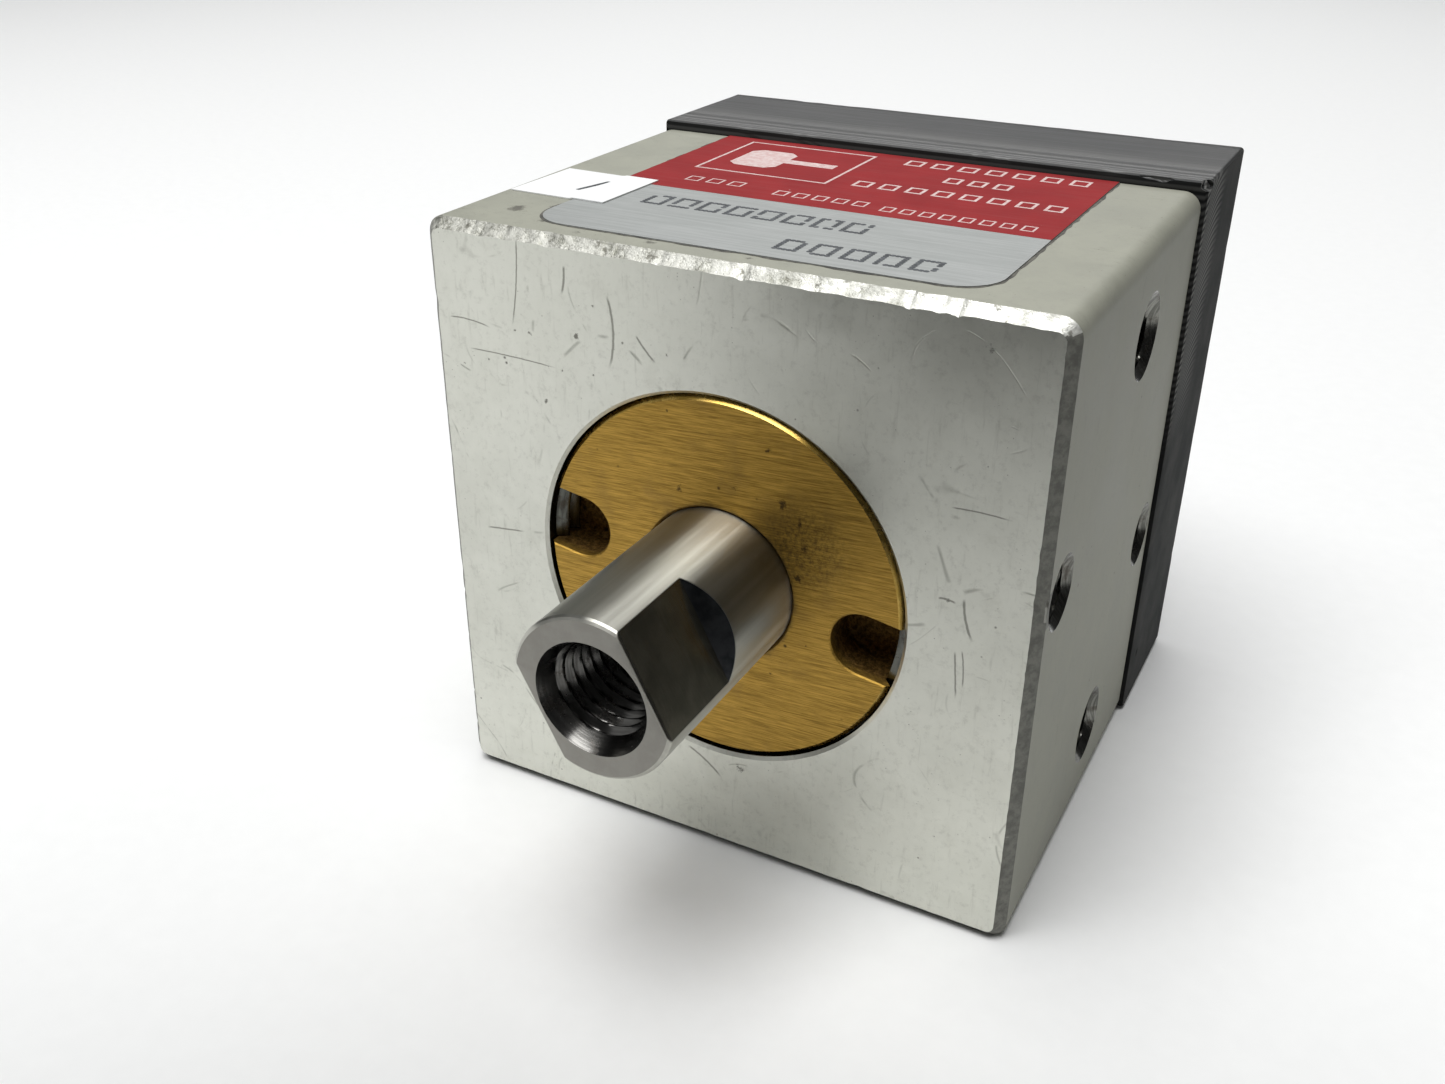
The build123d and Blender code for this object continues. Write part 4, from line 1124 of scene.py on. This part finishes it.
def soften_flats(rod):
    """Rounds the edges between the flats with their slopes, and the rest of the rod."""
    work = bmesh.new()
    work.from_mesh(rod.data)
    edges = []
    for edge in work.edges:
        milled = {face.material_index in (2, 4) for face in edge.link_faces}
        if len(milled) == 2:
            edges.append(edge)
    bmesh.ops.bevel(
        work, geom=edges, offset=EDGE_ROUNDING, segments=2, profile=0.6, affect="EDGES", material=0
    )
    work.to_mesh(rod.data)
    work.free()


def on_tip(spot, normal):
    """The rod's end face."""
    return spot.y < ROD_TIP + JUST and normal.y < -0.9


def on_flat(spot, normal):
    """The two wrench flats."""
    flat_normal = Vector((cos(FLAT_ANGLE), 0, sin(FLAT_ANGLE)))
    return spot.y < FLAT_END and abs(normal.dot(flat_normal)) > 0.9999


def on_slope(spot, normal):
    """The flats' sloping ends."""
    return FLAT_END < spot.y < FLAT_END + FLAT_RUNOUT and normal.y < -0.5


def in_tip_hole(spot, normal):
    """The countersink and thread of the rod's tapped hole."""
    return from_axis(spot) < MOUTH_RADIUS and spot.y < ROD_TIP + TAP_DEPTH and normal.y > -0.9


def make_rod():
    """The piston rod, which stands for its CAD node."""
    rod = rod_blank()
    cut(rod, flat_cutters())
    for index, chosen in ((1, on_tip), (2, on_flat), (4, on_slope), (3, in_tip_hole)):
        mark_faces(rod, index, chosen)
    soften_flats(rod)
    shade(rod, 20)
    # The tapped hole's wall is painted dark as shade inside the hole.
    tap_wall_painted_shade = tapped_wall("tapped_steel_painted_shade", (0.17, 0.167, 0.158), (0.095, 0.093, 0.088))
    materials = [stainless_rod(), turned_face(), milled_flat_painted_reflection(), tap_wall_painted_shade, flat_slope_painted_reflection()]
    finish_piece(rod, materials, "rod", ["piston_rod"])


# Rear block
BLOCK_CORNER = 0.35 * MM
BLOCK_CHAMFER = 0.3 * MM
COUNTERBORE_RADIUS = 4.3 * MM
COUNTERBORE_DEPTH = 7.03 * MM
COUNTERBORE_CHAMFER = 0.25 * MM
CLEARANCE_RADIUS = 2.6 * MM


def block_shell():
    """The block with slightly uneven, softened edges."""
    points, normals, lengths = rounded_outline(BLOCK_LOW, BLOCK_HIGH, BLOCK_CORNER, 0.3 * MM)
    chance = random.Random(11)
    front_dents = nick_marks(lengths, 26, 0.30 * MM, 0.8 * MM, chance)
    rear_dents = nick_marks(lengths, 18, 0.22 * MM, 1.4 * MM, chance)
    waver = 1 + wander(points, 0.0, 5 * MM)
    front = BLOCK_CHAMFER + 0.05 * MM * waver + front_dents
    rear = BLOCK_CHAMFER + 0.10 * MM * waver + rear_dents
    low = BLOCK_LOW.y
    high = BLOCK_HIGH.y
    front_inset = np.minimum(front, BLOCK_CORNER)
    rear_inset = np.minimum(rear, BLOCK_CORNER)
    sections = [(low, front_inset), (low + 0.3 * front, 0.35 * front_inset), (low + front, 0)]
    for share in (0.15, 0.3, 0.45, 0.6, 0.75, 0.9):
        y = low + share * (high - low)
        sections.append((y, 0.012 * MM * (1 + wander(points, y, 6 * MM))))
    sections += [(high - rear, 0), (high - 0.3 * rear, 0.35 * rear_inset), (high, rear_inset)]
    return skin("rear_block_detailed", [outline_ring(points, normals, y, inset) for y, inset in sections])


def chip(name, offset, size, seed):
    """A rough lump that breaks a chip out of the block's front top edge, this far from its right corner."""
    centre = Vector((BLOCK_HIGH.x + offset, BLOCK_LOW.y, BLOCK_HIGH.z))
    mesh = bpy.data.meshes.new(name)
    work = bmesh.new()
    bmesh.ops.create_icosphere(work, subdivisions=3, radius=1.0)
    for vertex in work.verts:
        bulge = 1 + 0.35 * noise.noise(vertex.co * 1.7 + Vector((seed, 0, 0)))
        vertex.co = Vector([part * side * bulge for part, side in zip(vertex.co, size)]) + centre
    work.to_mesh(mesh)
    work.free()
    return new_object(name, mesh)


def block_holes():
    """The four counterbored screw holes."""
    high = BLOCK_HIGH.y
    profile = [
        (BLOCK_LOW.y - OVERRUN, CLEARANCE_RADIUS),
        (high - COUNTERBORE_DEPTH, CLEARANCE_RADIUS),
        (high - COUNTERBORE_DEPTH, COUNTERBORE_RADIUS),
        (high - COUNTERBORE_CHAMFER, COUNTERBORE_RADIUS),
        (high + OVERRUN, COUNTERBORE_RADIUS + COUNTERBORE_CHAMFER + OVERRUN),
    ]
    return at_screws("block_hole", profile, 64)


def make_block():
    """The rear block, which stands for its CAD node."""
    block = block_shell()
    chips = [
        chip("chip_corner", 0.0, (0.9 * MM, 1.1 * MM, 0.8 * MM), 1.0),
        chip("chip_edge", -4.2 * MM, (1.6 * MM, 0.35 * MM, 0.35 * MM), 2.0),
    ]
    cut(block, [*block_holes(), *chips])
    mark_faces(block, 1, lambda spot, normal: normal.z < 0.5)
    mark_faces(block, 2, lambda spot, normal: normal.y < -0.5)
    shade(block)
    materials = [
        black_acetal("acetal_top", 0.5, (0.34, 0.48), 1.0),
        # The sides are a lighter copy (painted light) and the front a darker copy (painted shade) of the same
        # plastic.
        black_acetal("acetal_sides_painted_light", 0.015, (0.60, 0.72), 2.4),
        black_acetal("acetal_front_painted_shade", 0.01, (0.60, 0.72), 0.5),
    ]
    finish_piece(block, materials, "cylinder", ["rear_block"])


# Label and sticker
LABEL_CORNER = 3.3 * MM
RED_START = 13.45 * MM
INK = 0.008 * MM
FOIL_TOP = LABEL_HIGH.z - 2 * INK
DIRT_REACH = 0.36 * MM
DIRT_THICKNESS = 0.015 * MM
DOT_PITCH = 0.38 * MM
DOT_SIZE = 0.43 * MM
DOT_COLUMNS = 5
DOT_ROWS = 7
MISSING_DOTS = 0.06


def plates(name, outlines, low, high):
    """One object made of several flat plates with these (x, y) outlines."""
    work = bmesh.new()
    for outline in outlines:
        below = [work.verts.new((x, y, low)) for x, y in outline]
        above = [work.verts.new((x, y, high)) for x, y in outline]
        work.faces.new(below[::-1])
        work.faces.new(above)
        for step in range(len(outline)):
            after = (step + 1) % len(outline)
            work.faces.new((below[step], below[after], above[after], above[step]))
    mesh = bpy.data.meshes.new(name)
    work.to_mesh(mesh)
    work.free()
    outward(mesh)
    return new_object(name, mesh)


def label_outline():
    """The label's outline with rounded front corners."""
    left, front = LABEL_LOW.x, LABEL_LOW.y
    right, back = LABEL_HIGH.x, LABEL_HIGH.y
    corner = LABEL_CORNER
    points = [(right, back), (left, back)]
    for centre_x, first in ((left + corner, pi), (right - corner, 3 * pi / 2)):
        for angle in np.linspace(first, first + pi / 2, 13):
            points.append((centre_x + corner * cos(angle), front + corner + corner * sin(angle)))
    return points


def box_outline(left, front, width, length, corner=0.0):
    """A rectangle on the label, from its front left corner, with cut corners if wanted."""
    x = LABEL_LOW.x + left
    y = LABEL_LOW.y + front
    if corner == 0.0:
        return [(x, y), (x + width, y), (x + width, y + length), (x, y + length)]
    return [
        (x + corner, y),
        (x + width - corner, y),
        (x + width, y + corner),
        (x + width, y + length - corner),
        (x + width - corner, y + length),
        (x + corner, y + length),
        (x, y + length - corner),
        (x, y + corner),
    ]


def frame_outlines(left, front, width, length, line):
    """The four strips of a thin rectangular frame."""
    return [
        box_outline(left, front, width, line),
        box_outline(left, front + length - line, width, line),
        box_outline(left, front + line, line, length - 2 * line),
        box_outline(left + width - line, front + line, line, length - 2 * line),
    ]


# Rows of marks on the label, in mm from its front left corner: left, right, middle, height, count, line width
SQUARE_ROWS = (
    (18.5, 35.4, 30.7, 1.8, 7, 0.26),
    (23.6, 30.0, 26.4, 1.8, 3, 0.26),
    (17.4, 35.8, 21.9, 1.8, 8, 0.26),
    (4.5, 10.4, 16.9, 1.4, 3, 0.16),
    (13.0, 21.6, 16.0, 1.4, 5, 0.16),
    (22.4, 35.2, 15.5, 1.4, 8, 0.16),
)


def open_squares(left, right, middle, height, count, line):
    """A row of plain open squares in place of printed words."""
    cell = (right - left) / count
    outlines = []
    for number in range(count):
        outlines += frame_outlines(left + number * cell, middle - height / 2, 0.66 * cell, height, line)
    return outlines


def dotted_squares(left, right, middle, count, chance):
    """A row of squares drawn in dots in place of dot-matrix characters; a few dots are missing."""
    cell = (right - left) / count
    dots = []
    for number in range(count):
        for column in range(DOT_COLUMNS):
            for row in range(DOT_ROWS):
                inside = 0 < column < DOT_COLUMNS - 1 and 0 < row < DOT_ROWS - 1
                if inside or chance.random() < MISSING_DOTS:
                    continue
                x = left + number * cell + column * DOT_PITCH
                y = middle + (row - DOT_ROWS / 2) * DOT_PITCH
                dots.append(box_outline(x, y, DOT_SIZE, DOT_SIZE, corner=0.12 * MM))
    return dots


def generic_symbol():
    """A plain sign for a piston: a solid rectangle with cut corners, and a bar out of its side."""
    left = 4.8 * MM
    front = 23.0 * MM
    width = 4.4 * MM
    length = 6.0 * MM
    bar = 1.3 * MM
    head = box_outline(left, front, width, length, corner=0.8 * MM)
    return [head, box_outline(left + width, front + (length - bar) / 2, 4.6 * MM, bar)]


def wavy_outline(reach):
    """The label's outline, pushed outwards by an uneven amount up to this reach."""
    corners = label_outline()
    points = []
    for first, second in zip(corners, corners[1:] + corners[:1]):
        first = Vector(first)
        way = Vector(second) - first
        steps = max(1, round(way.length / (0.35 * MM)))
        outwards = Vector((way.y, -way.x)).normalized()
        for step in range(steps):
            point = first + way * step / steps
            share = 0.55 + 0.6 * noise.noise(Vector((point.x, point.y, 0)) / (1.3 * MM))
            points.append(tuple(point + outwards * reach * min(max(share, 0.1), 1.0)))
    return points


def print_plates(name, outlines, low, high, material, nodes=()):
    """A layer of the label as one piece."""
    piece = plates(name, outlines, low, high)
    if nodes:
        shade(piece)
    finish_piece(piece, [material], "cylinder", nodes)


def make_label(dark_ink):
    """The foil label with its red field and plain marks, and the grime round its edge."""
    print_plates("label_base", [label_outline()], LABEL_LOW.z, FOIL_TOP, label_foil(), ["nameplate_label"])
    red_front = LABEL_LOW.y + RED_START
    back = LABEL_HIGH.y
    field = [(LABEL_LOW.x, red_front), (LABEL_HIGH.x, red_front), (LABEL_HIGH.x, back), (LABEL_LOW.x, back)]
    print_plates("label_red_field", [field], FOIL_TOP, FOIL_TOP + INK, red_ink())
    marks = frame_outlines(3.1 * MM, 20.45 * MM, 12.3 * MM, 11.1 * MM, 0.24 * MM) + generic_symbol()
    for left, right, middle, height, count, line in SQUARE_ROWS:
        marks += open_squares(left * MM, right * MM, middle * MM, height * MM, count, line * MM)
    print_plates("label_pale_marks", marks, FOIL_TOP + INK, LABEL_HIGH.z, pale_print())
    chance = random.Random(7)
    dots = dotted_squares(5.0 * MM, 24.4 * MM, 9.5 * MM, 8, chance)
    dots += dotted_squares(19.6 * MM, 32.4 * MM, 3.2 * MM, 5, chance)
    print_plates("label_dark_marks", dots, FOIL_TOP, FOIL_TOP + INK, dark_ink)
    grime_top = LABEL_LOW.z + DIRT_THICKNESS
    print_plates("label_adhesive_edge", [wavy_outline(DIRT_REACH)], LABEL_LOW.z, grime_top, adhesive_dirt())


STICKER_WIDTH = 8.9 * MM
STICKER_LENGTH = 8.2 * MM
STICKER_TURN = radians(-1.5)
STICKER_CENTRE = (STICKER_LOW + STICKER_HIGH) / 2 + Vector((-0.1 * MM, 0.45 * MM, 0))
STICKER_STEPS = 40
PAPER = 0.09 * MM
BODY_GAP = 0.012 * MM
LABEL_GAP = 0.001 * MM


def laid(x, y, lift):
    """A point of the sticker: it rests on the label, and comes down to the body beside it."""
    turned_x = STICKER_CENTRE.x + x * cos(STICKER_TURN) - y * sin(STICKER_TURN)
    turned_y = STICKER_CENTRE.y + x * sin(STICKER_TURN) + y * cos(STICKER_TURN)
    over = np.clip((turned_x - LABEL_LOW.x) / (0.5 * MM) + 1.0, 0, 1)
    rise = LABEL_HIGH.z + LABEL_GAP - TOP - BODY_GAP
    return (turned_x, turned_y, TOP + BODY_GAP + rise * over * over * (3 - 2 * over) + lift)


def make_sticker(pen):
    """The paper sticker, laid down over the label's edge, with one plain pen stroke."""
    half = STICKER_LENGTH / 2
    rings = []
    for step in range(STICKER_STEPS + 1):
        x = STICKER_WIDTH * (step / STICKER_STEPS - 0.5)
        section = ((-half, 0), (half, 0), (half, PAPER), (-half, PAPER))
        rings.append(np.array([laid(x, y, lift) for y, lift in section]))
    sheet = skin("paper_sticker_sheet", rings)
    shade(sheet)
    finish_piece(sheet, [sticker_paper()], "cylinder", ["paper_sticker"])
    start = Vector((0.3 * MM, -1.6 * MM))
    end = Vector((1.1 * MM, 1.8 * MM))
    way = (end - start).normalized() * 0.4 * MM / 2
    side = Vector((-way.y, way.x))
    lows = np.array([laid(x, y, PAPER) for x, y in (start - side, end - side, end + side, start + side)])
    stroke = skin("sticker_pen_stroke", [lows, lows + np.array((0, 0, INK))])
    finish_piece(stroke, [pen], "cylinder", [])


# CAD nodes whose shape is shown as it is
def repaint(material, *names):
    """Gives CAD nodes a procedural material."""
    for name in names:
        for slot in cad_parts[name].material_slots:
            slot.material = material


def paint_hidden_pieces():
    """Materials for the pieces inside, and for the screws, washers and rings."""
    rubber = seal_rubber()
    repaint(rubber, "gland_o_ring", "rod_seal", "rear_head_o_ring", "piston_seal_front", "piston_seal_rear")
    repaint(rubber, "piston_o_ring")
    repaint(bumper_urethane(), "front_bumper", "rear_bumper")
    repaint(machined_aluminium(), "rear_head", "piston")
    repaint(spring_steel(), "retaining_ring", "lock_washers")
    repaint(black_steel(), "block_screws", "piston_screw")
    repaint(wear_ring_plastic(), "piston_wear_ring")


# Floor, lights and camera
FLOOR_REACH = 3.0
ROOM_LIGHT = 0.09
ROOM_COLOUR = (0.96, 0.98, 1.0, 1)
AREA_LIGHTS = (
    ("overhead", (-0.09, -0.27, 1.08), (0.80, 0.90), 15.0),
    ("behind", (-0.22, 0.68, 0.52), (0.60, 0.40), 1.5),
    ("front_left", (-0.45, -0.45, 0.30), (0.50, 0.40), 0.25),
)
CARD_Y = -0.112
CARD_WIDTHS = (-0.048, 0.180)
CARD_HEIGHTS = (0.004, 0.160)
RIGHT_CARD_X = 0.150
RIGHT_CARD_DEPTHS = (-0.060, 0.250)


def flat_sheet(name, corners, paint):
    """A four-cornered sheet that belongs to the stage and not to the object."""
    mesh = bpy.data.meshes.new(name)
    mesh.from_pydata(corners, [], [(0, 1, 2, 3)])
    mesh.materials.append(paint.material)
    sheet = new_object(name, mesh)
    return sheet


def make_floor():
    """A plain pale floor."""
    paint = Paint("floor_paper", Metallic=0.0)
    fibre = paint.noise(2, 4)
    paint.colour(paint.mix(fibre, (0.86, 0.865, 0.86), (0.90, 0.905, 0.90)))
    paint.roughness(fibre, 0.7, 0.85)
    far = FLOOR_REACH
    flat_sheet("floor", [(-far, -far, 0), (far, -far, 0), (far, far, 0), (-far, far, 0)], paint)


def make_lights():
    """A large soft light overhead, panels behind and in front to the left, and a dim room all round."""
    world = bpy.data.worlds.new("studio")
    bpy.context.scene.world = world
    world.use_nodes = True
    background = world.node_tree.nodes["Background"]
    background.inputs["Color"].default_value = ROOM_COLOUR
    background.inputs["Strength"].default_value = ROOM_LIGHT
    for name, spot, size, power in AREA_LIGHTS:
        light = bpy.data.lights.new(name, "AREA")
        light.shape = "RECTANGLE"
        light.size, light.size_y = size
        light.energy = power
        lamp = bpy.data.objects.new(name, light)
        lamp.location = spot
        way = Vector((0, 0, AXIS_HEIGHT)) - Vector(spot)
        lamp.rotation_euler = way.to_track_quat("-Z", "Y").to_euler()
        bpy.context.scene.collection.objects.link(lamp)


def make_cards():
    """Two dark cards that only reflections show: one behind the camera, which the front face mirrors, and
    one out of sight to the right."""
    paint = Paint("dark_card", Metallic=0.0)
    paint.colour((0.03, 0.03, 0.03))
    low, high = CARD_HEIGHTS
    left, right = CARD_WIDTHS
    front = [(left, CARD_Y, low), (right, CARD_Y, low), (right, CARD_Y, high), (left, CARD_Y, high)]
    near, far = RIGHT_CARD_DEPTHS
    x = RIGHT_CARD_X
    beside = [(x, near, low), (x, far, low), (x, far, high), (x, near, high)]
    for name, corners in (("dark_card_front", front), ("dark_card_right", beside)):
        flat_sheet(name, corners, paint).visible_camera = False


CAMERA_SPOT = (44.25 * MM, -99.74 * MM, 79.08 * MM)
CAMERA_HEADING = radians(28.09)
CAMERA_PITCH = radians(-28.23)
CAMERA_ROLL = radians(0.24)
CAMERA_LENS = 34.75
SENSOR_WIDTH = 36.0
NEAREST_SEEN = 0.005


def make_camera():
    """The camera, in front of the object to its right, looking down."""
    lens = bpy.data.cameras.new("camera")
    lens.lens = CAMERA_LENS
    lens.sensor_width = SENSOR_WIDTH
    lens.clip_start = NEAREST_SEEN
    camera = bpy.data.objects.new("camera", lens)
    turn = Matrix.Rotation(CAMERA_HEADING, 4, "Z") @ Matrix.Rotation(pi / 2 + CAMERA_PITCH, 4, "X")
    camera.matrix_world = Matrix.Translation(CAMERA_SPOT) @ turn @ Matrix.Rotation(CAMERA_ROLL, 4, "Z")
    bpy.context.scene.collection.objects.link(camera)
    bpy.context.scene.camera = camera


# The whole scene
make_camera()
make_body()
make_gland()
make_rod()
make_block()
ink = dark_print()
make_label(ink)
make_sticker(ink)
paint_hidden_pieces()
make_floor()
make_lights()
make_cards()
bpy.context.scene.view_settings.view_transform = "Standard"
